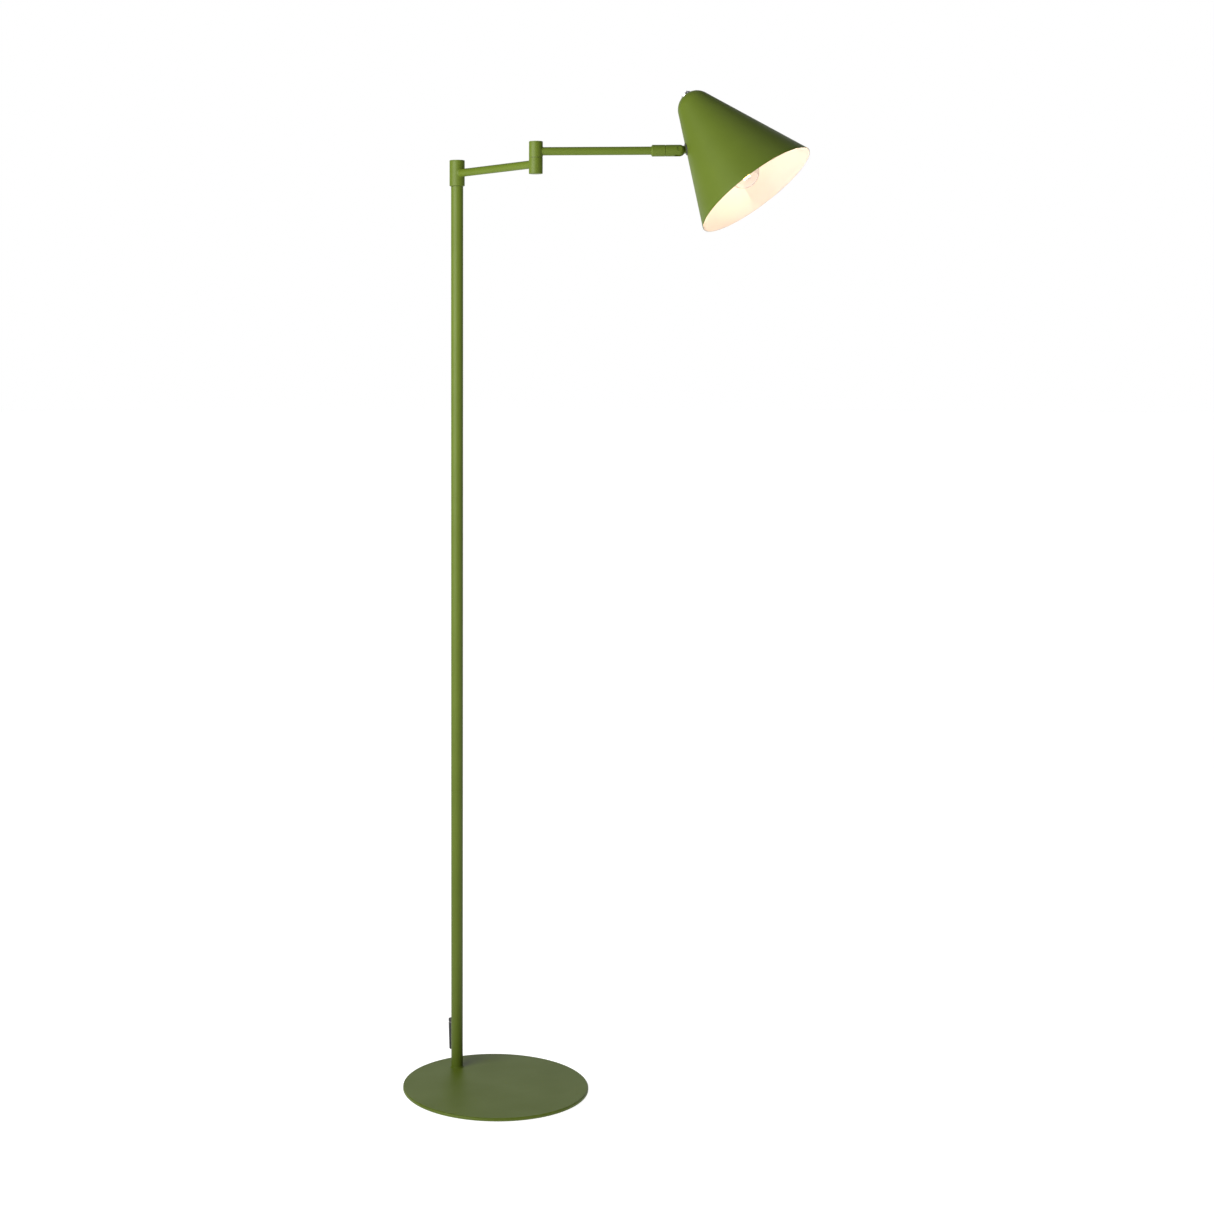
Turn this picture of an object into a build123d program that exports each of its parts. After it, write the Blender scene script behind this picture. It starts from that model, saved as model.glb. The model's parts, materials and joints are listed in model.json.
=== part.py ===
# Adjustable arm floor lamp: round steel foot, three-piece pole, two swivelling arms and a tilting
# conical shade. Millimetres, +Z up. The origin is the centre of the foot's underside, on the floor.
# +X runs from the pole over the foot, which is also the way the inner arm points at rest.
import os
from math import acos, atan2, cos, degrees, hypot, radians, sin, sqrt, tan

from build123d import *

# Foot
base_diameter = 280.0
base_thickness = 4.8
base_edge_radius = 1.8
pad_thickness = 1.2
pad_inset = 4.0
pole_setback = 99.2  # from the foot's centre back to the pole's axis

# Pole
pole_diameter = 18.0
pole_wall = 1.2
lower_length = 435.0
middle_length = 445.0
upper_length = 452.0
band_height = 3.2  # visible ring of a joiner, between two tubes
band_chamfer = 0.35
spigot_length = 25.0
joiner_bore = 10.0
foot_ring_thickness = 1.2
foot_ring_step = 1.3  # how far the ring stands out past the pole
foot_ring_chamfer = 0.5
foot_plug_length = 18.0

# Fixing screw under the foot
screw_diameter = 8.0
screw_grip = 14.0  # length in the foot plug
screw_head_diameter = 14.0
screw_head_height = 2.2
screw_socket = 5.0  # across flats
screw_socket_depth = 1.5
screw_washer_diameter = 17.0
screw_washer_thickness = 0.6
clearance = 0.2  # radial, of a screw or nipple through a plain hole

# Pivot hardware, the same at the shoulder and the elbow
nipple_diameter = 8.0
nipple_bore = 5.2
nipple_grip = 12.0  # length screwed into the pole's top plug
running_clearance = 0.05  # radial, of a turning piece on its nipple, pin or spigot
nut_thickness = 2.6
spring_washer_thickness = 0.8
spring_washer_split = 0.8
thrust_washer_thickness = 0.5
lead_diameter = 4.2
lead_gap = 0.4  # a lead stops this far short of the end of a turning piece

# Shoulder
plug_flange_height = 2.0
plug_length = 22.0
sleeve_step = 2.2  # how far the sleeve stands out past the pole
sleeve_height = 37.4
sleeve_floor = 5.0
sleeve_chamfer = 1.1
sleeve_nut_room = 1.67  # radial space around the nut
arm_in_sleeve = 18.5  # height of the inner arm's axis above the sleeve's foot
cap_plug_depth = 3.0
sleeve_lid = 2.0
barrel_lid = 1.6
barrel_chamfer = 0.6

# Arms
inner_arm_length = 187.0  # pole axis to elbow axis
arm_diameter = 11.4
arm_wall = 1.0

# Elbow
barrel_wall = 2.0
barrel_floor = 2.4
barrel_nut_room = 0.77
barrel_tail = 7.9  # barrel beyond the arm tube, on the side away from the seam
tube_to_floor = 0.3
elbow_rest = 51.0  # degrees from the inner arm to the outer arm

# Knuckle
pivot_reach = 199.9  # elbow axis to tilt pin
collar_length = 19.5
collar_step = 2.3
collar_chamfer = 1.3
collar_tube_depth = 10.0
spigot_reach = 9.2
spigot_inset = 0.7  # spigot bore is this much smaller in radius than the arm tube
fork_body = 19.5  # collar's end to tilt pin
fork_gap = 0.3
slot_clearance = 0.2
groove_depth = 1.0
groove_width = 3.4
set_screw_diameter = 3.0
set_screw_room = 0.3
pin_diameter = 4.0
pin_head_diameter = 7.0
pin_head_height = 2.0
tongue_thickness = 5.0
tongue_width = 10.0
eye_radius = 6.2
roll_rest = 17.0  # degrees that the fork is turned from hanging straight down
shade_angle_rest = 55.58  # degrees between the outer arm and the shade's axis

# Shade
mouth_diameter = 178.8
dome_radius = 25.9
shade_length = 144.5  # dome centre to mouth, along the axis
shade_wall = 1.0
pivot_along_shade = 36.7  # dome centre to tilt pin, measured along the axis

# Where the tongue enters the shade
bush_flange_diameter = 16.5
bush_flange_thickness = 1.0
bush_body_diameter = 12.0
bush_to_fork = 0.6
stem_diameter = 8.0
stem_bore = 3.4
stem_washer_diameter = 18.0
stem_washer_seat = 1.6  # from the wall's inside to the washer's flat face
stem_nut_thickness = 4.5
stem_nut_flats = 13.0
stem_end = 1.0

# Lampholder and its bracket
bracket_thickness = 1.6
bracket_width = 16.0
bracket_leg_end = 9.0
bracket_plate_drop = 11.7  # from the stem along the leg to the plate
holder_nipple_diameter = 10.0
holder_nipple_bore = 6.0
holder_nut_thickness = 3.5
holder_nut_flats = 14.0
holder_diameter = 28.0
holder_base_diameter = 22.0
holder_skirt_diameter = 26.0
holder_length = 52.0
holder_socket_depth = 28.0
holder_wall = 3.4
thread_sleeve_length = 20.0
thread_sleeve_wall = 1.0
contact_gap = 1.2

# Bulb
bulb_diameter = 45.0
bulb_cap_diameter = 14.0
bulb_cap_length = 24.6
bulb_cap_gap = 0.2
bulb_centre_height = 31.0  # cap's top to globe's centre
bulb_neck_radius = 6.8
bulb_neck_blend = 14.0
glass_wall = 0.8
support_height = 21.0  # cap's top to the lower wire plate
support_thickness = 0.8
support_radius = 5.2
filament_length = 21.0
filament_radius = 0.9
filament_circle = 4.0
filament_count = 4
wire_radius = 0.6

# Rocker switch in the dome
bezel_diameter = 15.0
bezel_rise = 1.2
bezel_chamfer = 0.4
housing_diameter = 13.4
housing_depth = 20.0
rocker_length = 9.2
rocker_width = 7.0
rocker_end_height = 1.8  # ends of the rocker above the bezel when it stands level
rocker_dip = 0.9  # its middle is this much lower
rocker_depth = 3.0  # below its pivot
rocker_pivot_depth = 1.2  # pivot below the bezel's face
rocker_angle = 12.0  # either way from level
rocker_room = 0.4  # beside it
rocker_end_room = 0.6  # past its ends
trunnion_radius = 0.95
trunnion_length = 0.8
trunnion_room = 0.05
trunnion_end_room = 0.6
switch_lead_diameter = 3.2

# Cord gland at the back of the pole
gland_diameter = 10.0
gland_tail_diameter = 7.6
gland_length = 49.0
gland_height = 31.0  # its lower end above the floor
gland_bore = 6.4
gland_cap_height = 4.4
gland_ring_height = 2.4
gland_ring_inset = 0.35
gland_neck_diameter = 7.0
gland_neck_drop = 14.0  # neck's axis below the gland's top
gland_nut_diameter = 10.0
gland_nut_thickness = 1.0

# Values that follow from those above
up = Vector(0, 0, 1)
pole_x = -pole_setback
pole_radius = pole_diameter / 2
pole_bore = pole_radius - pole_wall
arm_radius = arm_diameter / 2
arm_bore = arm_radius - arm_wall
lead_radius = lead_diameter / 2
nipple_radius = nipple_diameter / 2
nut_flats = 1.5 * nipple_diameter
nut_corner_radius = nut_flats / sqrt(3)
pivot_stack = spring_washer_thickness + nut_thickness
running_hole = nipple_radius + running_clearance

foot_top = pad_thickness + base_thickness
lower_start = foot_top + foot_ring_thickness
lower_end = lower_start + lower_length
middle_start = lower_end + band_height
middle_end = middle_start + middle_length
upper_start = middle_end + band_height
upper_end = upper_start + upper_length
plug_top = upper_end + plug_flange_height
sleeve_start = plug_top + thrust_washer_thickness
sleeve_end = sleeve_start + sleeve_height
inner_arm_height = sleeve_start + arm_in_sleeve

sleeve_radius = pole_radius + sleeve_step
sleeve_bore = nut_corner_radius + sleeve_nut_room
barrel_bore = nut_corner_radius + barrel_nut_room
barrel_radius = barrel_bore + barrel_wall
arm_from_seam = barrel_floor + tube_to_floor + arm_radius
barrel_height = arm_from_seam + arm_radius + barrel_tail
seam_low = inner_arm_height + arm_from_seam
seam_high = seam_low + thrust_washer_thickness
outer_arm_height = seam_high + arm_from_seam
elbow_x = pole_x + inner_arm_length
lead_lift = arm_bore - lead_radius - 0.2  # the lead lies against the tube's wall

outer_direction = Vector(cos(radians(elbow_rest)), sin(radians(elbow_rest)), 0)
outer_left = up.cross(outer_direction)
elbow_point = Vector(elbow_x, 0, outer_arm_height)
pivot = elbow_point + outer_direction * pivot_reach
knuckle_radius = arm_radius + collar_step
seam_reach = pivot_reach - fork_body
collar_start = seam_reach - collar_length
spigot_bore = arm_radius - spigot_inset

# The shade's axis leans from the outer arm's direction, in the plane of the fork's slot
hang = up * -cos(radians(roll_rest)) - outer_left * sin(radians(roll_rest))
shade_axis = outer_direction * cos(radians(shade_angle_rest)) + hang * sin(radians(shade_angle_rest))
arm_side = (shade_axis * cos(radians(shade_angle_rest)) - outer_direction).normalized()
pin_axis = shade_axis.cross(arm_side)
mouth_radius = mouth_diameter / 2
cone_angle = acos(dome_radius / hypot(mouth_radius, shade_length)) - atan2(shade_length, mouth_radius)
stem_direction = shade_axis * sin(cone_angle) - arm_side * cos(cone_angle)
wall_distance = knuckle_radius + bush_to_fork + bush_flange_thickness
pivot_across_shade = (dome_radius + wall_distance) / cos(cone_angle) + pivot_along_shade * tan(cone_angle)
dome_centre = pivot - shade_axis * pivot_along_shade - arm_side * pivot_across_shade


def section_plane(origin, along, beside):
    # X runs along an axle and Y away from it
    return Plane(origin=origin, x_dir=along, z_dir=along.cross(beside))


pole_section = section_plane(Vector(pole_x, 0, 0), up, Vector(-1, 0, 0))
elbow_section = section_plane(Vector(elbow_x, 0, 0), up, Vector(-1, 0, 0))
inner_section = section_plane(Vector(pole_x, 0, inner_arm_height), Vector(1, 0, 0), up)
outer_section = section_plane(elbow_point, outer_direction, up)
shade_section = section_plane(dome_centre, shade_axis, arm_side)
stem_section = section_plane(pivot, stem_direction, pin_axis)
tongue_plane = Plane(origin=pivot, x_dir=stem_direction, z_dir=pin_axis)
gland_x = pole_x - pole_radius - gland_diameter / 2
gland_section = section_plane(Vector(gland_x, 0, 0), up, Vector(-1, 0, 0))


def turned(section, outline, mode=Mode.ADD):
    # outline: points (distance along the axle, radius), joined by straight lines
    with BuildSketch(section) as profile:
        with BuildLine():
            Polyline(*outline, close=True)
        make_face()
    revolve(profile.sketch, axis=Axis(section.origin, section.x_dir), mode=mode)


def ring(section, start, end, outer, inner=0.0, mode=Mode.ADD):
    turned(section, [(start, inner), (end, inner), (end, outer), (start, outer)], mode)


def cross_plane(section, distance):
    # plane square to the axle, at a distance along it
    return Plane(origin=section.origin + section.x_dir * distance, x_dir=section.y_dir, z_dir=section.x_dir)


def hex_nut(section, start, thickness, flats, bore_radius):
    with BuildSketch(cross_plane(section, start)) as outline:
        RegularPolygon(radius=flats / 2, side_count=6, major_radius=False)
        Circle(bore_radius, mode=Mode.SUBTRACT)
    extrude(outline.sketch, amount=thickness)


def split_washer(section, start, outer, inner):
    ring(section, start, start + spring_washer_thickness, outer, inner)
    with BuildSketch(cross_plane(section, start)) as split:
        with Locations((outer, 0)):
            Rectangle(2 * outer, spring_washer_split)
    extrude(split.sketch, amount=spring_washer_thickness, mode=Mode.SUBTRACT)


def press_cap(section, seat, lid, outer, bore, chamfer_size, direction=1):
    # lid with a chamfered rim, and a plug that fills the bore behind it
    rim = seat + direction * lid
    turned(
        section,
        [
            (seat - direction * cap_plug_depth, 0),
            (rim, 0),
            (rim, outer - chamfer_size),
            (rim - direction * chamfer_size, outer),
            (seat, outer),
            (seat, bore),
            (seat - direction * cap_plug_depth, bore),
        ],
    )


def round_lead(plane, points, radius, bend):
    with BuildLine(plane) as route:
        FilletPolyline(*points, radius=bend)
    with BuildSketch(Plane(origin=route.line @ 0, z_dir=route.line % 0)) as face:
        Circle(radius)
    sweep(face.sketch, path=route.line)


# ---- Foot ----
base_radius = base_diameter / 2
recess_radius = screw_washer_diameter / 2 + 1.0
recess_depth = screw_head_height + screw_washer_thickness
recess_roof = pad_thickness + recess_depth
screw_hole = screw_diameter / 2 + clearance

with BuildPart() as base_pad:
    with BuildSketch(Plane.XY):
        Circle(base_radius - pad_inset)
        with Locations((pole_x, 0)):
            Circle(recess_radius + 1.0, mode=Mode.SUBTRACT)
    extrude(amount=pad_thickness)

with BuildPart() as base_plate:
    with BuildSketch(Plane.XY.offset(pad_thickness)):
        Circle(base_radius)
    extrude(amount=base_thickness)
    fillet(base_plate.edges().group_by(Axis.Z)[-1], radius=base_edge_radius)
    chamfer(base_plate.edges().group_by(Axis.Z)[0], length=base_edge_radius / 3)
    ring(pole_section, pad_thickness, recess_roof, recess_radius, mode=Mode.SUBTRACT)
    ring(pole_section, pad_thickness, foot_top, screw_hole, mode=Mode.SUBTRACT)

with BuildPart() as base_washer:
    ring(
        pole_section,
        recess_roof - screw_washer_thickness,
        recess_roof,
        screw_washer_diameter / 2,
        screw_hole,
    )

with BuildPart() as base_screw:
    ring(pole_section, pad_thickness, pad_thickness + screw_head_height, screw_head_diameter / 2)
    ring(pole_section, pad_thickness, lower_start + screw_grip, screw_diameter / 2)
    with BuildSketch(cross_plane(pole_section, pad_thickness)):
        RegularPolygon(radius=screw_socket / 2, side_count=6, major_radius=False)
    extrude(amount=screw_socket_depth, mode=Mode.SUBTRACT)

with BuildPart() as pole_foot_ring:
    turned(
        pole_section,
        [
            (foot_top, screw_hole),
            (foot_top, pole_radius + foot_ring_step),
            (lower_start - foot_ring_chamfer, pole_radius + foot_ring_step),
            (lower_start, pole_radius + foot_ring_step - foot_ring_chamfer),
            (lower_start, screw_hole),
        ],
    )

# ---- Pole ----
with BuildPart() as foot_plug:
    ring(pole_section, lower_start, lower_start + foot_plug_length, pole_bore, screw_diameter / 2)

gland_neck_height = gland_height + gland_length - gland_neck_drop
gland_neck_radius = gland_neck_diameter / 2
gland_neck_section = section_plane(Vector(pole_x, 0, gland_neck_height), Vector(-1, 0, 0), up)

with BuildPart() as pole_lower_tube:
    ring(pole_section, lower_start, lower_end, pole_radius, pole_bore)
    ring(gland_neck_section, 0, pole_diameter, gland_neck_radius, mode=Mode.SUBTRACT)

with BuildPart() as pole_middle_tube:
    ring(pole_section, middle_start, middle_end, pole_radius, pole_bore)

with BuildPart() as pole_upper_tube:
    ring(pole_section, upper_start, upper_end, pole_radius, pole_bore)


def joiner(start):
    end = start + band_height
    turned(
        pole_section,
        [
            (start - spigot_length, joiner_bore / 2),
            (start - spigot_length, pole_bore),
            (start, pole_bore),
            (start, pole_radius - band_chamfer),
            (start + band_chamfer, pole_radius),
            (end - band_chamfer, pole_radius),
            (end, pole_radius - band_chamfer),
            (end, pole_bore),
            (end + spigot_length, pole_bore),
            (end + spigot_length, joiner_bore / 2),
        ],
    )


with BuildPart() as pole_lower_joiner:
    joiner(lower_end)

with BuildPart() as pole_upper_joiner:
    joiner(middle_end)

with BuildPart() as pole_top_plug:
    ring(pole_section, upper_end - plug_length, upper_end, pole_bore)
    ring(pole_section, upper_end, plug_top, pole_radius)
    ring(pole_section, plug_top - nipple_grip, plug_top, nipple_radius, mode=Mode.SUBTRACT)
    ring(pole_section, upper_end - plug_length, plug_top, nipple_bore / 2, mode=Mode.SUBTRACT)

# ---- Cord gland ----
gland_end = gland_height + gland_length
gland_cap_start = gland_end - gland_cap_height
gland_ring_start = gland_cap_start - gland_ring_height
gland_radius = gland_diameter / 2
gland_nut_start = sqrt(pole_bore**2 - (gland_nut_diameter / 2) ** 2) - 0.1 - gland_nut_thickness
gland_neck_end = gland_nut_start - 0.6

with BuildPart() as cord_gland:
    turned(
        gland_section,
        [
            (gland_height, 0),
            (gland_height, gland_tail_diameter / 2),
            (gland_ring_start, gland_radius),
            (gland_ring_start, gland_bore / 2),
            (gland_cap_start, gland_bore / 2),
            (gland_cap_start, 0),
        ],
    )
    ring(
        gland_neck_section,
        gland_neck_end,
        pole_radius + gland_radius,
        gland_neck_radius,
    )
    ring(gland_section, gland_height, gland_neck_height, gland_bore / 2, mode=Mode.SUBTRACT)
    ring(
        gland_neck_section,
        gland_neck_end,
        pole_radius + gland_radius,
        lead_radius + 0.1,
        mode=Mode.SUBTRACT,
    )

with BuildPart() as gland_ring:
    ring(gland_section, gland_ring_start, gland_cap_start, gland_radius - gland_ring_inset, gland_bore / 2)

with BuildPart() as gland_cap:
    ring(gland_section, gland_cap_start, gland_end, gland_radius)
    fillet(gland_cap.edges().group_by(Axis.Z)[-1], radius=1.4)

with BuildPart() as gland_nut:
    ring(
        gland_neck_section,
        gland_nut_start,
        gland_nut_start + gland_nut_thickness,
        gland_nut_diameter / 2,
        gland_neck_radius,
    )

# ---- Shoulder ----
washer_outer = nut_corner_radius - 0.4
washer_inner = nipple_radius + clearance
sleeve_stack_start = sleeve_start + sleeve_floor
shoulder_nipple_end = sleeve_stack_start + pivot_stack

with BuildPart() as shoulder_thrust_washer:
    ring(pole_section, plug_top, sleeve_start, pole_radius - 0.6, washer_inner)

with BuildPart() as shoulder_nipple:
    ring(pole_section, plug_top - nipple_grip, shoulder_nipple_end, nipple_radius, nipple_bore / 2)

with BuildPart() as shoulder_spring_washer:
    split_washer(pole_section, sleeve_stack_start, washer_outer, washer_inner)

with BuildPart() as shoulder_nut:
    hex_nut(
        pole_section,
        sleeve_stack_start + spring_washer_thickness,
        nut_thickness,
        nut_flats,
        nipple_radius,
    )

sleeve_seat = sleeve_end - sleeve_lid

with BuildPart() as shoulder_sleeve:
    turned(
        pole_section,
        [
            (sleeve_start, running_hole),
            (sleeve_start, sleeve_radius - sleeve_chamfer),
            (sleeve_start + sleeve_chamfer, sleeve_radius),
            (sleeve_seat, sleeve_radius),
            (sleeve_seat, sleeve_bore),
            (sleeve_stack_start, sleeve_bore),
            (sleeve_stack_start, running_hole),
        ],
    )
    ring(inner_section, 0, sleeve_radius + 1, arm_radius, mode=Mode.SUBTRACT)

with BuildPart() as shoulder_cap:
    press_cap(pole_section, sleeve_seat, sleeve_lid, sleeve_radius, sleeve_bore, sleeve_chamfer)

# ---- Inner arm ----
with BuildPart() as inner_arm_tube:
    ring(inner_section, 0, inner_arm_length, arm_radius, arm_bore)
    ring(pole_section, sleeve_start, sleeve_end, sleeve_bore, mode=Mode.SUBTRACT)
    ring(elbow_section, sleeve_start, sleeve_end, barrel_bore, mode=Mode.SUBTRACT)

# ---- Elbow ----
lower_barrel_end = seam_low - barrel_height
lower_barrel_seat = lower_barrel_end + barrel_lid
upper_barrel_end = seam_high + barrel_height
upper_barrel_seat = upper_barrel_end - barrel_lid
elbow_stack_start = seam_high + barrel_floor
elbow_nipple_start = seam_low - barrel_floor
elbow_nipple_end = elbow_stack_start + pivot_stack

with BuildPart() as elbow_lower_barrel:
    turned(
        elbow_section,
        [
            (lower_barrel_seat, barrel_bore),
            (lower_barrel_seat, barrel_radius),
            (seam_low - band_chamfer, barrel_radius),
            (seam_low, barrel_radius - band_chamfer),
            (seam_low, nipple_radius),
            (elbow_nipple_start, nipple_radius),
            (elbow_nipple_start, barrel_bore),
        ],
    )
    ring(
        inner_section,
        inner_arm_length - barrel_radius - 1,
        inner_arm_length,
        arm_radius,
        mode=Mode.SUBTRACT,
    )

with BuildPart() as elbow_lower_cap:
    press_cap(
        elbow_section,
        lower_barrel_seat,
        barrel_lid,
        barrel_radius,
        barrel_bore,
        barrel_chamfer,
        direction=-1,
    )

with BuildPart() as elbow_nipple:
    ring(elbow_section, elbow_nipple_start, elbow_nipple_end, nipple_radius, nipple_bore / 2)

with BuildPart() as elbow_thrust_washer:
    ring(elbow_section, seam_low, seam_high, barrel_radius - 0.5, washer_inner)

with BuildPart() as elbow_spring_washer:
    split_washer(elbow_section, elbow_stack_start, washer_outer, washer_inner)

with BuildPart() as elbow_nut:
    hex_nut(
        elbow_section,
        elbow_stack_start + spring_washer_thickness,
        nut_thickness,
        nut_flats,
        nipple_radius,
    )

with BuildPart() as elbow_upper_barrel:
    turned(
        elbow_section,
        [
            (seam_high, running_hole),
            (seam_high, barrel_radius - band_chamfer),
            (seam_high + band_chamfer, barrel_radius),
            (upper_barrel_seat, barrel_radius),
            (upper_barrel_seat, barrel_bore),
            (elbow_stack_start, barrel_bore),
            (elbow_stack_start, running_hole),
        ],
    )
    ring(outer_section, 0, barrel_radius + 1, arm_radius, mode=Mode.SUBTRACT)

with BuildPart() as elbow_upper_cap:
    press_cap(elbow_section, upper_barrel_seat, barrel_lid, barrel_radius, barrel_bore, barrel_chamfer)

# ---- Outer arm ----
tube_end = collar_start + collar_tube_depth

with BuildPart() as outer_arm_tube:
    ring(outer_section, 0, tube_end, arm_radius, arm_bore)
    ring(elbow_section, seam_high, upper_barrel_end, barrel_bore, mode=Mode.SUBTRACT)

# ---- Knuckle ----
spigot_start = seam_reach - spigot_reach
spigot_radius = spigot_bore - running_clearance
fork_start = seam_reach + fork_gap
groove_centre = seam_reach - spigot_reach / 2
groove_radius = spigot_radius - groove_depth
set_screw_plane = Plane(
    origin=elbow_point + outer_direction * groove_centre + outer_left * (groove_radius + set_screw_room),
    x_dir=outer_direction,
    z_dir=outer_left,
)
set_screw_length = knuckle_radius - groove_radius - set_screw_room - 0.4

with BuildPart() as knuckle_collar:
    turned(
        outer_section,
        [
            (collar_start, arm_radius),
            (collar_start, knuckle_radius - collar_chamfer),
            (collar_start + collar_chamfer, knuckle_radius),
            (seam_reach - band_chamfer, knuckle_radius),
            (seam_reach, knuckle_radius - band_chamfer),
            (seam_reach, spigot_bore),
            (tube_end, spigot_bore),
            (tube_end, arm_radius),
        ],
    )
    with BuildSketch(set_screw_plane):
        Circle(set_screw_diameter / 2)
    extrude(amount=knuckle_radius, mode=Mode.SUBTRACT)

with BuildPart() as knuckle_set_screw:
    with BuildSketch(set_screw_plane):
        Circle(set_screw_diameter / 2)
    extrude(amount=set_screw_length)
    with BuildSketch(set_screw_plane.offset(set_screw_length)):
        RegularPolygon(radius=0.75, side_count=6, major_radius=False)
    extrude(amount=-1.2, mode=Mode.SUBTRACT)

slot_width = tongue_thickness + 2 * slot_clearance
slot_floor = eye_radius + 0.6
pin_head_radius = pin_head_diameter / 2
pin_seat = sqrt(knuckle_radius**2 - pin_head_radius**2) - pin_head_height
fork_plane = Plane(origin=pivot, x_dir=outer_direction, z_dir=pin_axis)
pin_section = section_plane(pivot, pin_axis, outer_direction)

with BuildPart() as knuckle_fork:
    with BuildSketch(outer_section):
        with BuildLine():
            Polyline(
                (pivot_reach + knuckle_radius, 0),
                (spigot_start, 0),
                (spigot_start, spigot_radius),
                (groove_centre - groove_width / 2, spigot_radius),
                (groove_centre - groove_width / 2, groove_radius),
                (groove_centre + groove_width / 2, groove_radius),
                (groove_centre + groove_width / 2, spigot_radius),
                (fork_start, spigot_radius),
                (fork_start, knuckle_radius - band_chamfer),
                (fork_start + band_chamfer, knuckle_radius),
                (pivot_reach, knuckle_radius),
            )
            CenterArc((pivot_reach, 0), knuckle_radius, 0, 90)
        make_face()
    revolve(axis=Axis(outer_section.origin, outer_section.x_dir))
    ring(outer_section, spigot_start, pivot_reach, nipple_bore / 2, mode=Mode.SUBTRACT)
    with BuildSketch(fork_plane.offset(-slot_width / 2)):
        with Locations((knuckle_radius - slot_floor / 2, 0)):
            Rectangle(2 * knuckle_radius + slot_floor, 2 * knuckle_radius + 2)
    extrude(amount=slot_width, mode=Mode.SUBTRACT)
    ring(pin_section, -knuckle_radius, knuckle_radius, pin_diameter / 2, mode=Mode.SUBTRACT)
    ring(pin_section, pin_seat, knuckle_radius, pin_head_radius, mode=Mode.SUBTRACT)
    ring(pin_section, -knuckle_radius, -pin_seat, pin_head_radius, mode=Mode.SUBTRACT)

with BuildPart() as knuckle_pin:
    ring(pin_section, -pin_seat - pin_head_height, pin_seat, pin_diameter / 2)
    ring(pin_section, pin_seat, pin_seat + pin_head_height, pin_head_radius)
    with BuildSketch(cross_plane(pin_section, pin_seat + pin_head_height)):
        Rectangle(pin_head_diameter, 0.9)
    extrude(amount=-0.9, mode=Mode.SUBTRACT)

with BuildPart() as knuckle_pin_nut:
    ring(pin_section, -pin_seat - pin_head_height, -pin_seat, pin_head_radius, pin_diameter / 2)

# ---- Shade ----
dome_end = radians(90) - cone_angle
tangent_along = -dome_radius * sin(cone_angle)
inner_dome = dome_radius - shade_wall


def shade_profile(radius, mouth):
    # half outline of the domed cone, closed along its axis
    start_angle = 180
    with BuildSketch(shade_section) as profile:
        with BuildLine():
            Line((shade_length, 0), (-radius, 0))
            CenterArc((0, 0), radius, start_angle, -degrees(dome_end))
            Line((-radius * sin(cone_angle), radius * cos(cone_angle)), (shade_length, mouth))
            Line((shade_length, mouth), (shade_length, 0))
        make_face()
    return profile.sketch


with BuildPart() as shade_outside:
    revolve(shade_profile(dome_radius, mouth_radius), axis=Axis(dome_centre, shade_axis))

with BuildPart() as shade_inside:
    revolve(
        shade_profile(inner_dome, mouth_radius - shade_wall / cos(cone_angle)),
        axis=Axis(dome_centre, shade_axis),
    )

housing_radius = housing_diameter / 2
bezel_face = -dome_radius - bezel_rise
wall_inside = wall_distance + shade_wall
stem_shoulder = knuckle_radius + bush_to_fork
washer_face = wall_inside + stem_washer_seat
bush_radius = bush_body_diameter / 2

with BuildPart() as shade_shell:
    add(shade_outside.part)
    add(shade_inside.part, mode=Mode.SUBTRACT)
    ring(shade_section, bezel_face, 0, housing_radius, mode=Mode.SUBTRACT)
    ring(stem_section, stem_shoulder, washer_face + 2, bush_radius, mode=Mode.SUBTRACT)

# ---- Tongue, bush and nut that hold the shade ----
bracket_back = washer_face + bracket_thickness
stem_nut_end = bracket_back + stem_nut_thickness
stem_length = stem_nut_end + stem_end

with BuildPart() as shade_stem:
    with BuildSketch(tongue_plane.offset(-tongue_thickness / 2)):
        Circle(eye_radius)
        with Locations((stem_shoulder / 2, 0)):
            Rectangle(stem_shoulder, tongue_width)
    extrude(amount=tongue_thickness)
    ring(stem_section, stem_shoulder, stem_length, stem_diameter / 2)
    ring(stem_section, stem_shoulder, stem_length, stem_bore / 2, mode=Mode.SUBTRACT)
    ring(
        pin_section,
        -tongue_thickness,
        tongue_thickness,
        pin_diameter / 2 + running_clearance,
        mode=Mode.SUBTRACT,
    )

with BuildPart() as stem_bush:
    ring(stem_section, stem_shoulder, wall_inside, bush_flange_diameter / 2)
    add(shade_outside.part, mode=Mode.SUBTRACT)
    ring(stem_section, stem_shoulder, washer_face - 0.4, bush_radius)
    ring(stem_section, stem_shoulder, washer_face, stem_diameter / 2, mode=Mode.SUBTRACT)

with BuildPart() as stem_washer:
    ring(stem_section, wall_distance, washer_face, stem_washer_diameter / 2)
    add(shade_inside.part, mode=Mode.INTERSECT)
    ring(stem_section, wall_distance, washer_face, bush_radius, mode=Mode.SUBTRACT)

with BuildPart() as stem_nut:
    hex_nut(stem_section, bracket_back, stem_nut_thickness, stem_nut_flats, stem_diameter / 2)

# ---- Bracket: one leg on the stem, the plate square to the shade's axis under the lampholder ----
leg_along = pivot_along_shade + (washer_face + bracket_thickness / 2) * sin(cone_angle)
leg_across = pivot_across_shade - (washer_face + bracket_thickness / 2) * cos(cone_angle)
plate_along = leg_along - bracket_plate_drop * cos(cone_angle)
plate_across = leg_across - bracket_plate_drop * sin(cone_angle)
leg_end_along = leg_along + bracket_leg_end * cos(cone_angle)
leg_end_across = leg_across + bracket_leg_end * sin(cone_angle)
bracket_plane = Plane(origin=dome_centre, x_dir=shade_axis, z_dir=pin_axis)
holder_nipple_radius = holder_nipple_diameter / 2

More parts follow.
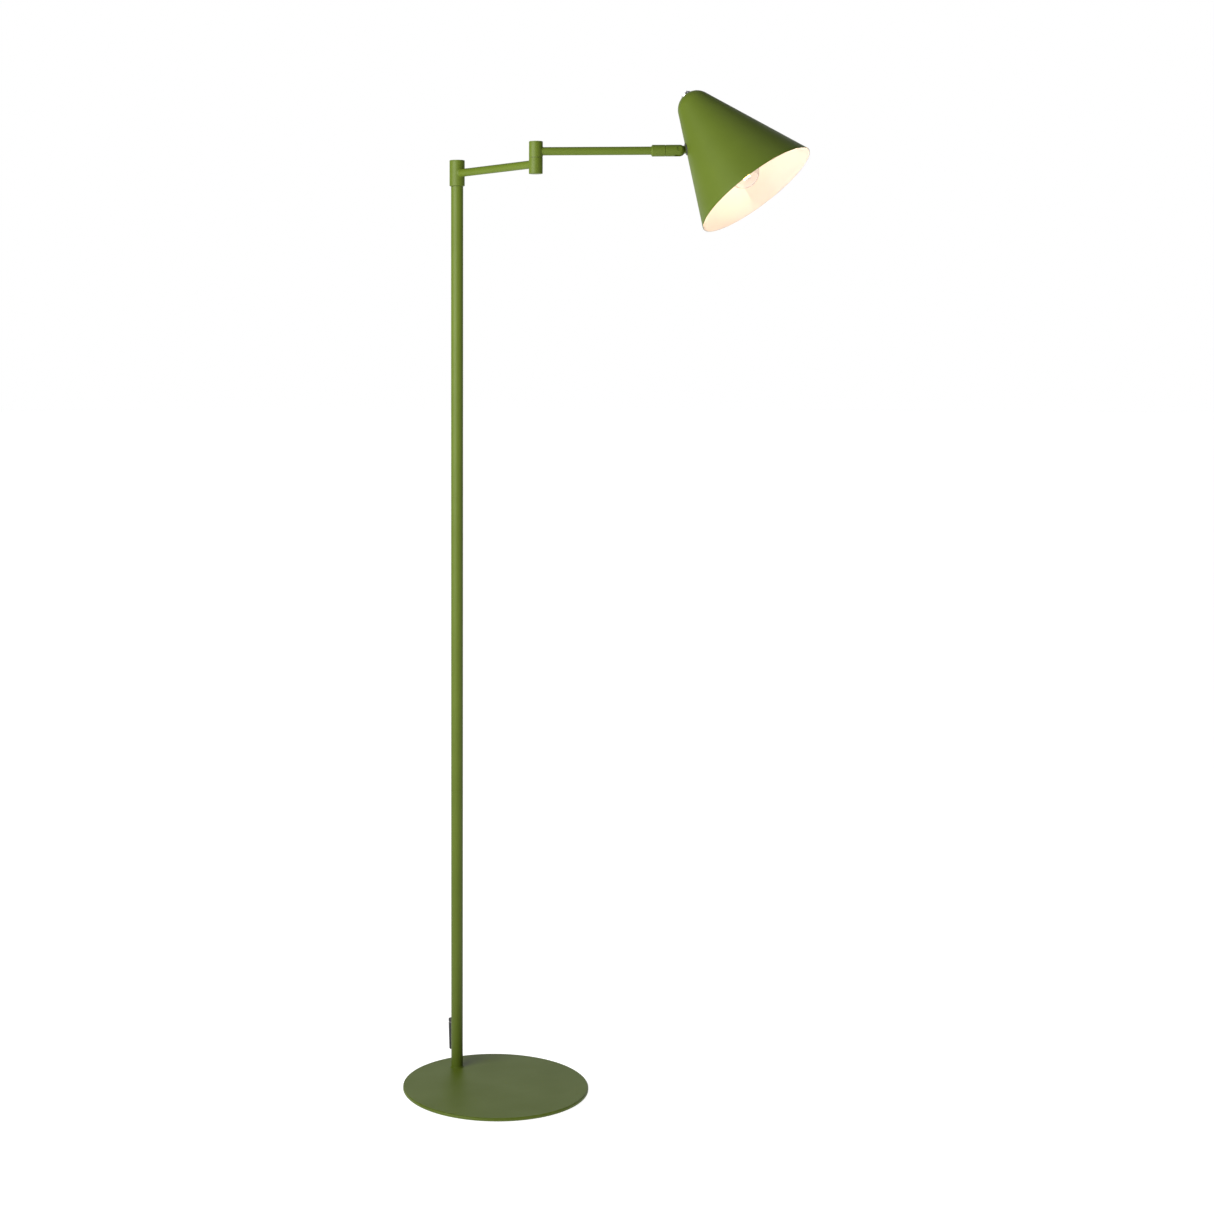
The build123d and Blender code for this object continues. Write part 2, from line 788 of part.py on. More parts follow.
with BuildPart() as holder_bracket:
    with BuildSketch(bracket_plane.offset(-bracket_width / 2)):
        with BuildLine():
            FilletPolyline(
                (plate_along, -bracket_width / 2),
                (plate_along, plate_across),
                (leg_end_along, leg_end_across),
                radius=2.4,
            )
            offset(amount=bracket_thickness / 2, kind=Kind.INTERSECTION, side=Side.BOTH)
        make_face()
    extrude(amount=bracket_width)
    ring(shade_section, plate_along - 2, plate_along + 2, holder_nipple_radius, mode=Mode.SUBTRACT)
    ring(stem_section, washer_face - 1, bracket_back + 1, stem_diameter / 2, mode=Mode.SUBTRACT)

# ---- Lampholder ----
plate_front = plate_along + bracket_thickness / 2
plate_back = plate_along - bracket_thickness / 2
holder_start = plate_front
holder_rim = holder_start + holder_length
socket_floor = holder_rim - holder_socket_depth
socket_radius = bulb_cap_diameter / 2 + thread_sleeve_wall + bulb_cap_gap
holder_radius = holder_diameter / 2
skirt_radius = holder_skirt_diameter / 2

with BuildPart() as holder_nut:
    hex_nut(
        shade_section,
        plate_back - holder_nut_thickness,
        holder_nut_thickness,
        holder_nut_flats,
        holder_nipple_radius,
    )

with BuildPart() as holder_nipple:
    ring(
        shade_section,
        plate_back - holder_nut_thickness - 1,
        holder_start + 6,
        holder_nipple_radius,
        holder_nipple_bore / 2,
    )

with BuildPart() as lampholder:
    turned(
        shade_section,
        [
            (holder_start, holder_nipple_radius),
            (holder_start, holder_base_diameter / 2),
            (holder_start + 4, holder_radius),
            (socket_floor - 4, holder_radius),
            (socket_floor - 3, skirt_radius),
            (holder_rim - 3, skirt_radius),
            (holder_rim - 3, holder_radius),
            (holder_rim, holder_radius),
            (holder_rim, socket_radius),
            (socket_floor, socket_radius),
            (socket_floor, holder_nipple_radius - 1.5),
            (holder_start + 6, holder_nipple_radius - 1.5),
            (holder_start + 6, holder_nipple_radius),
        ],
    )

with BuildPart() as holder_thread_sleeve:
    ring(
        shade_section,
        socket_floor + contact_gap,
        socket_floor + contact_gap + thread_sleeve_length,
        socket_radius,
        socket_radius - thread_sleeve_wall,
    )

# ---- Bulb ----
bulb_cap_start = socket_floor + contact_gap
bulb_cap_end = bulb_cap_start + bulb_cap_length
globe_centre = bulb_cap_end + bulb_centre_height
bulb_radius = bulb_diameter / 2
cap_tip_radius = 3.2

with BuildPart() as bulb_cap:
    turned(
        shade_section,
        [
            (bulb_cap_start, 0),
            (bulb_cap_start, cap_tip_radius),
            (bulb_cap_start + 4, bulb_cap_diameter / 2),
            (bulb_cap_end, bulb_cap_diameter / 2),
            (bulb_cap_end, 0),
        ],
    )


def globe_profile(radius, neck, start):
    # globe with a neck that blends into it tangentially
    blend_along = globe_centre - bulb_neck_blend
    blend_radius = sqrt(radius**2 - bulb_neck_blend**2)
    angle = degrees(atan2(blend_radius, -bulb_neck_blend))
    with BuildSketch(shade_section) as profile:
        with BuildLine():
            Line((globe_centre + radius, 0), (start, 0))
            Line((start, 0), (start, neck))
            TangentArc(
                (blend_along, blend_radius),
                (start, neck),
                tangent=(-blend_radius, -bulb_neck_blend),
            )
            CenterArc((globe_centre, 0), radius, 0, angle)
        make_face()
    return profile.sketch


with BuildPart() as bulb_glass:
    revolve(
        globe_profile(bulb_radius, bulb_neck_radius, bulb_cap_end),
        axis=Axis(dome_centre, shade_axis),
    )
    revolve(
        globe_profile(bulb_radius - glass_wall, bulb_neck_radius - glass_wall, bulb_cap_end),
        axis=Axis(dome_centre, shade_axis),
        mode=Mode.SUBTRACT,
    )

support_start = bulb_cap_end + support_height
filament_start = support_start + support_thickness
filament_end = filament_start + filament_length

with BuildPart() as bulb_stem:
    turned(
        shade_section,
        [
            (bulb_cap_end, 0),
            (bulb_cap_end, 4.2),
            (bulb_cap_end + 3, 3.6),
            (bulb_cap_end + 8, 1.8),
            (support_start, 1.8),
            (support_start, 0),
        ],
    )

with BuildPart() as bulb_support:
    ring(shade_section, support_start, filament_start, support_radius)
    ring(shade_section, filament_start, filament_end, wire_radius)
    ring(shade_section, filament_end, filament_end + support_thickness, support_radius)

with BuildPart() as bulb_filaments:
    with BuildSketch(cross_plane(shade_section, filament_start)):
        with PolarLocations(filament_circle, filament_count):
            Circle(filament_radius)
    extrude(amount=filament_length)

# ---- Rocker switch ----
bezel_radius = bezel_diameter / 2
opening_length = rocker_length + 2 * rocker_end_room
opening_width = rocker_width + 2 * rocker_room
rocker_pivot_along = bezel_face + rocker_pivot_depth
rocker_pivot = dome_centre + shade_axis * rocker_pivot_along
cavity_depth = rocker_pivot_depth + rocker_depth + 1.6
trunnion_section = Plane(origin=rocker_pivot, x_dir=arm_side, z_dir=pin_axis)
trunnion_reach = rocker_width / 2 + trunnion_length
socket_reach = trunnion_reach + trunnion_end_room
housing_end = bezel_face + housing_depth

with BuildPart() as switch_bezel:
    turned(
        shade_section,
        [
            (bezel_face, 0),
            (bezel_face, bezel_radius - bezel_chamfer),
            (bezel_face + bezel_chamfer, bezel_radius),
            (0, bezel_radius),
            (0, housing_radius),
            (-dome_radius, housing_radius),
            (-dome_radius, 0),
        ],
    )
    add(shade_outside.part, mode=Mode.SUBTRACT)
    with BuildSketch(cross_plane(shade_section, bezel_face)):
        Rectangle(opening_length, opening_width)
    extrude(amount=housing_depth / 2, mode=Mode.SUBTRACT)
    with BuildSketch(trunnion_section):
        Circle(trunnion_radius + trunnion_room)
    extrude(amount=socket_reach, both=True, mode=Mode.SUBTRACT)

with BuildPart() as switch_housing:
    ring(shade_section, -dome_radius, housing_end, housing_radius)
    with BuildSketch(cross_plane(shade_section, bezel_face)):
        Rectangle(opening_length, opening_width)
    extrude(amount=cavity_depth, mode=Mode.SUBTRACT)
    with BuildSketch(trunnion_section):
        Circle(trunnion_radius + trunnion_room)
    extrude(amount=socket_reach, both=True, mode=Mode.SUBTRACT)

# The rocker is turned so that its end away from the arm stands proud
rocker_axis = shade_axis * cos(radians(rocker_angle)) - arm_side * sin(radians(rocker_angle))
rocker_section = Plane(origin=rocker_pivot, x_dir=rocker_axis, z_dir=pin_axis)
rocker_half = rocker_length / 2
rocker_top = -rocker_pivot_depth - rocker_end_height

with BuildPart() as switch_rocker:
    with BuildSketch(rocker_section.offset(-rocker_width / 2)):
        with BuildLine():
            ThreePointArc(
                (rocker_top, -rocker_half), (rocker_top + rocker_dip, 0), (rocker_top, rocker_half)
            )
            Polyline(
                (rocker_top, rocker_half),
                (0, rocker_half),
                (rocker_depth, rocker_half / 2),
                (rocker_depth, -rocker_half / 2),
                (0, -rocker_half),
                (rocker_top, -rocker_half),
            )
        make_face()
    extrude(amount=rocker_width)
    with BuildSketch(trunnion_section):
        Circle(trunnion_radius)
    extrude(amount=trunnion_reach, both=True)

# ---- Internal leads ----
lead_low = inner_arm_height - lead_lift
lead_high = outer_arm_height + lead_lift
lead_plane = Plane.XZ
gland_lead_x = gland_x + lead_radius

with BuildPart() as pole_lead:
    round_lead(
        lead_plane,
        [
            (gland_lead_x, gland_neck_height),
            (pole_x, gland_neck_height),
            (pole_x, shoulder_nipple_end - lead_gap),
        ],
        lead_radius,
        gland_neck_end - 0.1,
    )

with BuildPart() as inner_arm_lead:
    round_lead(
        lead_plane,
        [
            (pole_x, shoulder_nipple_end + lead_gap),
            (pole_x, lead_low),
            (elbow_x, lead_low),
            (elbow_x, elbow_nipple_end - lead_gap),
        ],
        lead_radius,
        4.4,
    )

outer_lead_plane = section_plane(Vector(elbow_x, 0, 0), outer_direction, up)

with BuildPart() as outer_arm_lead:
    round_lead(
        outer_lead_plane,
        [
            (0, elbow_nipple_end + lead_gap),
            (0, lead_high),
            (collar_start - 6, lead_high),
            (collar_start + 4, outer_arm_height),
            (spigot_start - lead_gap, outer_arm_height),
        ],
        lead_radius,
        4.0,
    )

with BuildPart() as shade_lead:
    ring(stem_section, stem_shoulder + 0.4, pivot_across_shade, switch_lead_diameter / 2)
    ring(shade_section, holder_start, holder_rim, holder_radius, mode=Mode.SUBTRACT)

switch_lead_side = -bracket_width / 2 - switch_lead_diameter

with BuildPart() as switch_lead:
    round_lead(
        bracket_plane,
        [
            (housing_end, -housing_radius / 2),
            (housing_end + 9, -housing_radius / 2),
            (plate_along - 8, switch_lead_side),
            (holder_start + 2.6, switch_lead_side),
        ],
        switch_lead_diameter / 2,
        4.0,
    )
    add(lampholder.part, mode=Mode.SUBTRACT)

pieces = {
    "base_pad": base_pad,
    "base_plate": base_plate,
    "base_washer": base_washer,
    "base_screw": base_screw,
    "pole_foot_ring": pole_foot_ring,
    "foot_plug": foot_plug,
    "pole_lower_tube": pole_lower_tube,
    "pole_middle_tube": pole_middle_tube,
    "pole_upper_tube": pole_upper_tube,
    "pole_lower_joiner": pole_lower_joiner,
    "pole_upper_joiner": pole_upper_joiner,
    "pole_top_plug": pole_top_plug,
    "cord_gland": cord_gland,
    "gland_ring": gland_ring,
    "gland_cap": gland_cap,
    "gland_nut": gland_nut,
    "shoulder_thrust_washer": shoulder_thrust_washer,
    "shoulder_nipple": shoulder_nipple,
    "shoulder_spring_washer": shoulder_spring_washer,
    "shoulder_nut": shoulder_nut,
    "pole_lead": pole_lead,
    "shoulder_sleeve": shoulder_sleeve,
    "shoulder_cap": shoulder_cap,
    "inner_arm_tube": inner_arm_tube,
    "elbow_lower_barrel": elbow_lower_barrel,
    "elbow_lower_cap": elbow_lower_cap,
    "elbow_nipple": elbow_nipple,
    "elbow_thrust_washer": elbow_thrust_washer,
    "elbow_spring_washer": elbow_spring_washer,
    "elbow_nut": elbow_nut,
    "inner_arm_lead": inner_arm_lead,
    "elbow_upper_barrel": elbow_upper_barrel,
    "elbow_upper_cap": elbow_upper_cap,
    "outer_arm_tube": outer_arm_tube,
    "outer_arm_lead": outer_arm_lead,
    "knuckle_collar": knuckle_collar,
    "knuckle_set_screw": knuckle_set_screw,
    "knuckle_fork": knuckle_fork,
    "knuckle_pin": knuckle_pin,
    "knuckle_pin_nut": knuckle_pin_nut,
    "shade_stem": shade_stem,
    "stem_bush": stem_bush,
    "stem_washer": stem_washer,
    "stem_nut": stem_nut,
    "holder_bracket": holder_bracket,
    "holder_nut": holder_nut,
    "holder_nipple": holder_nipple,
    "lampholder": lampholder,
    "holder_thread_sleeve": holder_thread_sleeve,
    "bulb_cap": bulb_cap,
    "bulb_glass": bulb_glass,
    "bulb_stem": bulb_stem,
    "bulb_support": bulb_support,
    "bulb_filaments": bulb_filaments,
    "switch_bezel": switch_bezel,
    "switch_housing": switch_housing,
    "switch_lead": switch_lead,
    "shade_lead": shade_lead,
    "shade_shell": shade_shell,
    "switch_rocker": switch_rocker,
}

os.makedirs("parts", exist_ok=True)
for name, piece in pieces.items():
    piece.part.label = name
    export_step(piece.part, f"parts/{name}.step")

print("pieces", len(pieces))
print("shoulder axis", pole_x, 0, "elbow axis", elbow_x, 0)
print("outer arm direction", outer_direction, "height", outer_arm_height)
print("tilt pin", pivot, "along", pin_axis)
print("shade axis", shade_axis, "dome centre", dome_centre)
print("rocker pivot", rocker_pivot)
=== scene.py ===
import json
from math import acos, atan2, cos, hypot, pi, radians, sin, sqrt, tan

import bmesh
import bpy
from mathutils import Matrix, Vector
from mathutils.geometry import interpolate_bezier


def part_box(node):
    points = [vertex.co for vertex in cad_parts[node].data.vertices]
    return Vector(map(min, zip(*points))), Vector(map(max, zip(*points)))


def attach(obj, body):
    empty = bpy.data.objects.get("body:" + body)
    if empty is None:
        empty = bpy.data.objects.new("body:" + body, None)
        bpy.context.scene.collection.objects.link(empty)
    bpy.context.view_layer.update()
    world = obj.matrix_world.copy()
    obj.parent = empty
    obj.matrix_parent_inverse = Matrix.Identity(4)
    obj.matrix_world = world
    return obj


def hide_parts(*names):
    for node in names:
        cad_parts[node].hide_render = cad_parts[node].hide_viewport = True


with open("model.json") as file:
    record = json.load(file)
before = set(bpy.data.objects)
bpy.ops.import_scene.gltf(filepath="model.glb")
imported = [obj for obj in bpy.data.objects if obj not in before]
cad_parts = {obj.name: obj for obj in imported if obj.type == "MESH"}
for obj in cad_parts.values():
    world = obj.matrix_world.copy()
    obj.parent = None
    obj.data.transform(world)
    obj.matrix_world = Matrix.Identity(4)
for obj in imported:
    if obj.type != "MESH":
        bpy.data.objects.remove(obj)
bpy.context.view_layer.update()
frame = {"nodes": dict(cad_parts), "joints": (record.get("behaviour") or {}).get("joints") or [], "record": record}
scene = bpy.context.scene
scene.view_settings.view_transform = "Standard"
scene.view_settings.look = "None"
mm = 0.001
up = Vector((0, 0, 1))
print("lamp frame loaded,", len(frame["nodes"]), "CAD nodes")

# The lamp's axes, from its joints
joints = {joint["name"]: joint for joint in frame["joints"]}
shoulderAt = Vector(joints["shoulder_swivel"]["pos_m"])
elbowAt = Vector(joints["elbow_swivel"]["pos_m"])
tiltAt = Vector(joints["shade_tilt"]["pos_m"])
tiltWay = Vector(joints["shade_tilt"]["axis"]).normalized()
outerWay = Vector(joints["knuckle_roll"]["axis"]).normalized()
rockerAt = Vector(joints["switch_rock"]["pos_m"])
innerWay = (elbowAt - shoulderAt).normalized()


def placing(origin, along, beside):
    # local Z runs along the axle, local X points beside it
    across = along.cross(beside)
    turn = Matrix((beside, across, along)).transposed().to_4x4()
    return Matrix.Translation(origin) @ turn


# ---- camera ----
viewpoint = {
    "place": (2.3969, -1.8166, 1.0991),
    "heading": (-0.8090, 0.5878),
    "downTilt": 6.93,
    "lens": 61.10,
    "sideShift": 0.1248,
}


def setCamera(look):
    tilt = radians(look["downTilt"])
    aim = Vector((look["heading"][0] * cos(tilt), look["heading"][1] * cos(tilt), -sin(tilt)))
    data = bpy.data.cameras.new("roomCamera")
    data.sensor_width = 36
    data.lens = look["lens"]
    data.shift_x = look["sideShift"]
    data.clip_end = 100
    camera = bpy.data.objects.new("roomCamera", data)
    camera.location = look["place"]
    camera.rotation_euler = aim.to_track_quat("-Z", "Y").to_euler()
    scene.collection.objects.link(camera)
    scene.camera = camera
    return aim


lookWay = setCamera(viewpoint)
ahead = Vector((lookWay.x, lookWay.y, 0)).normalized()
toLeft = up.cross(ahead)
print("camera set")


# ---- node helpers ----
class Flow:
    # one output socket, so that a finish's arithmetic reads as arithmetic
    def __init__(self, finish, socket):
        self.finish = finish
        self.socket = socket

    def sum(self, operation, first, second):
        return self.finish.add("ShaderNodeMath", {"operation": operation}, {0: first, 1: second})

    def __add__(self, other):
        return self.sum("ADD", self, other)

    def __radd__(self, other):
        return self.sum("ADD", other, self)

    def __sub__(self, other):
        return self.sum("SUBTRACT", self, other)

    def __rsub__(self, other):
        return self.sum("SUBTRACT", other, self)

    def __mul__(self, other):
        return self.sum("MULTIPLY", self, other)

    def __rmul__(self, other):
        return self.sum("MULTIPLY", other, self)


class Finish:
    def __init__(self, name, owner=None):
        self.owner = owner or bpy.data.materials.new(name)
        self.owner.use_nodes = True
        self.tree = self.owner.node_tree
        self.tree.nodes.clear()

    def add(self, kind, settings=None, sockets=None, output=0):
        node = self.tree.nodes.new(kind)
        for key, value in (settings or {}).items():
            if key == "stops":
                ramp = node.color_ramp
                while len(ramp.elements) < len(value):
                    ramp.elements.new(0.5)
                for element, (position, colour) in zip(ramp.elements, value):
                    element.position = position
                    element.color = colour
            else:
                setattr(node, key, value)
        for key, value in (sockets or {}).items():
            if isinstance(value, Flow):
                self.tree.links.new(value.socket, node.inputs[key])
            else:
                node.inputs[key].default_value = value
        return Flow(self, node.outputs[output]) if node.outputs else None

    def where(self):
        return self.add("ShaderNodeTexCoord", output="Object")

    def noise(self, size, detail=2.0, spread=0.5, stretch=None):
        # size in metres, of one blotch or grain
        place = self.where()
        if stretch:
            place = self.add("ShaderNodeMapping", {}, {"Vector": place, "Scale": stretch})
        wanted = {"Vector": place, "Scale": 1 / size, "Detail": detail, "Roughness": spread}
        return self.add("ShaderNodeTexNoise", {}, wanted)

    def ramp(self, value, *stops):
        greys = [(position, (shade, shade, shade, 1)) for position, shade in stops]
        return self.add("ShaderNodeValToRGB", {"stops": greys}, {"Fac": value})

    def blendColours(self, amount, first, second):
        return self.add("ShaderNodeMix", {"data_type": "RGBA"}, {0: amount, 6: first, 7: second}, 2)

    def bump(self, height, depth, strength=1.0):
        wanted = {"Height": height, "Distance": depth, "Strength": strength}
        return self.add("ShaderNodeBump", {}, wanted)

    def surface(self, **sockets):
        named = {key[0].upper() + key[1:]: value for key, value in sockets.items()}
        names = {
            "BaseColor": "Base Color",
            "SpecularLevel": "Specular IOR Level",
            "EmissionColor": "Emission Color",
            "EmissionStrength": "Emission Strength",
            "TransmissionWeight": "Transmission Weight",
            "Ior": "IOR",
        }
        wanted = {names.get(key, key): value for key, value in named.items()}
        shader = self.add("ShaderNodeBsdfPrincipled", {}, wanted)
        self.add("ShaderNodeOutputMaterial", {}, {"Surface": shader})
        return self.owner


# ---- finishes ----
powderLook = {
    "green": (0.082, 0.118, 0.0085, 1),
    "greenDeep": (0.074, 0.107, 0.0070, 1),
    "white": (0.66, 0.63, 0.58, 1),
    "whiteDeep": (0.62, 0.59, 0.54, 1),
    "cloudSize": 0.07,
    "peelSize": 0.0016,
    "grainSize": 0.00032,
    "peelDepth": 0.00003,
    "peelStrength": 0.5,
    "peelShare": 0.75,  # the grain has the rest of the relief
    "speckShare": 0.2,  # the clouds have the rest of the colour change
    "greenRoughness": 0.50,
    "whiteRoughness": 0.62,
    "roughnessSpread": 0.10,
    "specular": 0.24,
}


def powderCoat(name, light, deep, roughness, look):
    # baked powder: slow clouds of thickness, orange peel and a fine grain that breaks the gloss
    finish = Finish(name)
    cloud = finish.noise(look["cloudSize"], 3)
    peel = finish.noise(look["peelSize"], 2)
    grain = finish.noise(look["grainSize"], 1)
    speck = finish.ramp(grain, (0.30, 1), (0.42, 0))
    depth = finish.ramp(cloud, (0.35, 0), (0.65, 1))
    speckShare, peelShare, spread = look["speckShare"], look["peelShare"], look["roughnessSpread"]
    colour = finish.blendColours(depth * (1 - speckShare) + speck * speckShare, light, deep)
    gloss = roughness + (cloud - 0.5) * spread + (grain - 0.5) * spread
    height = peel * peelShare + grain * (1 - peelShare)
    normal = finish.bump(height, look["peelDepth"], look["peelStrength"])
    return finish.surface(
        baseColor=colour, roughness=gloss, normal=normal, specularLevel=look["specular"]
    )


plasticLook = {
    "black": (0.012, 0.012, 0.013, 1),
    "blackWorn": (0.022, 0.022, 0.023, 1),
    "grey": (0.10, 0.10, 0.095, 1),
    "greyWorn": (0.13, 0.13, 0.12, 1),
    "cream": (0.78, 0.75, 0.69, 1),
    "creamWorn": (0.72, 0.68, 0.61, 1),
    "nylon": (0.030, 0.031, 0.026, 1),
    "nylonWorn": (0.042, 0.043, 0.036, 1),
    "oliveNylon": (0.050, 0.066, 0.010, 1),
    "oliveNylonWorn": (0.060, 0.078, 0.014, 1),
    "sparkSize": 0.00035,
    "smearSize": 0.012,
    "sparkGloss": 0.16,
    "smearGloss": 0.05,
    "smearShare": 0.6,
}


def mouldedPlastic(name, colour, worn, roughness, look, depth, specular):
    # spark-eroded mould texture, with a few polished smears
    finish = Finish(name)
    spark = finish.noise(look["sparkSize"], 3, 0.6)
    smear = finish.ramp(finish.noise(look["smearSize"], 4), (0.42, 0), (0.60, 1))
    share = look["smearShare"]
    tint = finish.blendColours(smear * share + spark * (1 - share), colour, worn)
    gloss = roughness + (spark - 0.5) * look["sparkGloss"] - smear * look["smearGloss"]
    normal = finish.bump(spark, depth, 0.7)
    return finish.surface(baseColor=tint, roughness=gloss, normal=normal, specularLevel=specular)


metalLook = {
    "zinc": (0.52, 0.52, 0.50, 1),
    "zincDull": (0.36, 0.36, 0.35, 1),
    "nickel": (0.66, 0.63, 0.58, 1),
    "nickelDull": (0.50, 0.47, 0.42, 1),
    "brass": (0.72, 0.50, 0.20, 1),
    "brassDull": (0.46, 0.30, 0.11, 1),
    "chrome": (0.78, 0.78, 0.79, 1),
    "chromeDull": (0.66, 0.66, 0.67, 1),
    "spangleSize": 0.004,
    "scratchSize": 0.0011,
    "scratchStretch": (1, 1, 0.15),
    "scratchDepth": 0.000012,
}


def platedMetal(name, bright, dull, roughness, look, spread):
    # plated or turned metal: cloudy plating and short fine scratches
    finish = Finish(name)
    spangle = finish.noise(look["spangleSize"], 3)
    scratch = finish.noise(look["scratchSize"], 3, 0.6, look["scratchStretch"])
    dirt = finish.ramp(spangle * 0.7 + scratch * 0.3, (0.40, 0), (0.62, 1))
    colour = finish.blendColours(dirt, bright, dull)
    gloss = roughness + dirt * spread * 0.6 + (scratch - 0.5) * spread
    normal = finish.bump(scratch, look["scratchDepth"], 0.6)
    return finish.surface(baseColor=colour, metallic=1.0, roughness=gloss, normal=normal)


softLook = {
    "foam": (0.012, 0.012, 0.012, 1),
    "foamDusty": (0.030, 0.029, 0.027, 1),
    "foamRoughness": 0.82,
    "cellSize": 0.0011,
    "cellDepth": 0.0003,
    "dustSize": 0.02,
    "sheath": (0.018, 0.018, 0.019, 1),
    "sheathRubbed": (0.036, 0.036, 0.036, 1),
    "sheathRoughness": 0.48,
    "rubSize": 0.006,
    "rubDepth": 0.00004,
}


def foamPad(name, look):
    finish = Finish(name)
    cells = finish.add(
        "ShaderNodeTexVoronoi",
        {"feature": "F1"},
        {"Vector": finish.where(), "Scale": 1 / look["cellSize"]},
    )
    dust = finish.noise(look["dustSize"], 4)
    colour = finish.blendColours(dust, look["foam"], look["foamDusty"])
    roughness = look["foamRoughness"] + (dust - 0.5) * 0.12
    normal = finish.bump(cells, look["cellDepth"], 0.5)
    return finish.surface(baseColor=colour, roughness=roughness, normal=normal)


def softSheath(name, look):
    finish = Finish(name)
    rub = finish.noise(look["rubSize"], 3)
    colour = finish.blendColours(rub, look["sheath"], look["sheathRubbed"])
    roughness = look["sheathRoughness"] + (rub - 0.5) * 0.2
    normal = finish.bump(rub, look["rubDepth"], 0.4)
    return finish.surface(baseColor=colour, roughness=roughness, normal=normal)


bulbLook = {
    "glass": (0.99, 0.995, 1.0, 1),
    "ior": 1.45,
    "rippleSize": 0.010,
    "rippleDepth": 0.0002,
    "phosphor": (0.9, 0.6, 0.2, 1),
    "glowDeep": (1.0, 0.50, 0.16, 1),
    "glowPale": (1.0, 0.68, 0.32, 1),
    "glowStrength": 26.0,
    "phosphorGrain": 0.0008,
    "phosphorDepth": 0.0001,
}


def clearGlass(name, look):
    # faint ripples of blown glass
    finish = Finish(name)
    ripple = finish.noise(look["rippleSize"], 1)
    roughness = 0.002 + ripple * 0.012
    return finish.surface(
        baseColor=look["glass"],
        roughness=roughness,
        ior=look["ior"],
        transmissionWeight=1.0,
        normal=finish.bump(ripple, look["rippleDepth"], 0.25),
    )


def glowingPhosphor(name, look):
    finish = Finish(name)
    grain = finish.noise(look["phosphorGrain"], 3)
    colour = finish.blendColours(grain, look["glowDeep"], look["glowPale"])
    return finish.surface(
        baseColor=look["phosphor"],
        roughness=0.5 + (grain - 0.5) * 0.1,
        emissionColor=colour,
        emissionStrength=look["glowStrength"],
        normal=finish.bump(grain, look["phosphorDepth"], 0.5),
    )


def coat(name, shade):
    return powderCoat(
        name, powderLook[shade], powderLook[shade + "Deep"], powderLook[shade + "Roughness"], powderLook
    )


def plastic(name, shade, roughness, depth=0.00003, specular=0.5):
    colour, worn = plasticLook[shade], plasticLook[shade + "Worn"]
    return mouldedPlastic(name, colour, worn, roughness, plasticLook, depth, specular)


def plate(name, metal, roughness, spread=0.18):
    return platedMetal(name, metalLook[metal], metalLook[metal + "Dull"], roughness, metalLook, spread)


greenCoat = coat("greenPowderCoat", "green")
whiteCoat = coat("whitePowderCoat", "white")
blackPlastic = plastic("blackPlastic", "black", 0.42)
greyPlastic = plastic("greyPlastic", "grey", 0.45)
creamPlastic = plastic("creamPlastic", "cream", 0.40)
darkNylon = plastic("darkNylon", "nylon", 0.50)
oliveNylon = plastic("oliveNylon", "oliveNylon", 0.50)
glossBlack = plastic("glossBlackPlastic", "black", 0.34, 0.000012, 0.15)
zincSteel = plate("zincPlatedSteel", "zinc", 0.34)
nickelPlate = plate("nickelPlate", "nickel", 0.26)
brassStrip = plate("brassStrip", "brass", 0.30)
chromePlate = plate("chromePlate", "chrome", 0.10, 0.06)
padFoam = foamPad("padFoam", softLook)
leadSheath = softSheath("leadSheath", softLook)
bulbGlass = clearGlass("bulbGlass", bulbLook)
glowPhosphor = glowingPhosphor("glowPhosphor", bulbLook)

slotFinish = {
    "green_coat": greenCoat,
    "shade_coat": greenCoat,
    "pad": padFoam,
    "steel": zincSteel,
    "olive_nylon": oliveNylon,
    "nickel": nickelPlate,
    "brass": brassStrip,
    "nylon": darkNylon,
    "black_plastic": blackPlastic,
    "grey_plastic": greyPlastic,
    "white_plastic": creamPlastic,
    "lead_sheath": leadSheath,
    "bulb_glass": bulbGlass,
    "filament": glowPhosphor,
    "bezel_chrome": chromePlate,
    "rocker_black": glossBlack,
}
slotOf = {part["node"]: part["material_slot"] for part in frame["record"]["subparts"]}
for node, cadObject in frame["nodes"].items():
    for holder in cadObject.material_slots:
        holder.material = slotFinish[slotOf[node]]
print("finishes made for", len(slotFinish), "slots")


# ---- shape helpers ----
def roundCorners(outline, arcSteps=5):
    # outline: (height, radius, rounding), a closed loop
    points = []
    for index, (height, radius, rounding) in enumerate(outline):
        here = Vector((height, radius))
        if rounding == 0:
            points.append(here)
            continue
        before = (Vector(outline[index - 1][:2]) - here).normalized()
        after = (Vector(outline[(index + 1) % len(outline)][:2]) - here).normalized()
        half = before.angle(after) / 2
        centre = here + (before + after).normalized() * (rounding / sin(half))
        first = here + before * (rounding / tan(half)) - centre
        last = here + after * (rounding / tan(half)) - centre
        for step in range(arcSteps + 1):
            points.append(centre + first.lerp(last, step / arcSteps).normalized() * rounding)
    return points


def addPiece(name, mesh, body, finishes, nodes, sharpAngle=38):
    bmesh.ops.recalc_face_normals(mesh, faces=mesh.faces)
    data = bpy.data.meshes.new(name)
    for face in mesh.faces:
        face.smooth = True
    mesh.to_mesh(data)
    mesh.free()
    data.set_sharp_from_angle(angle=radians(sharpAngle))
    for finish in finishes:
        data.materials.append(finish)
    piece = bpy.data.objects.new(name, data)
    scene.collection.objects.link(piece)
    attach(piece, body)
    if nodes:
        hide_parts(*nodes)
    return piece


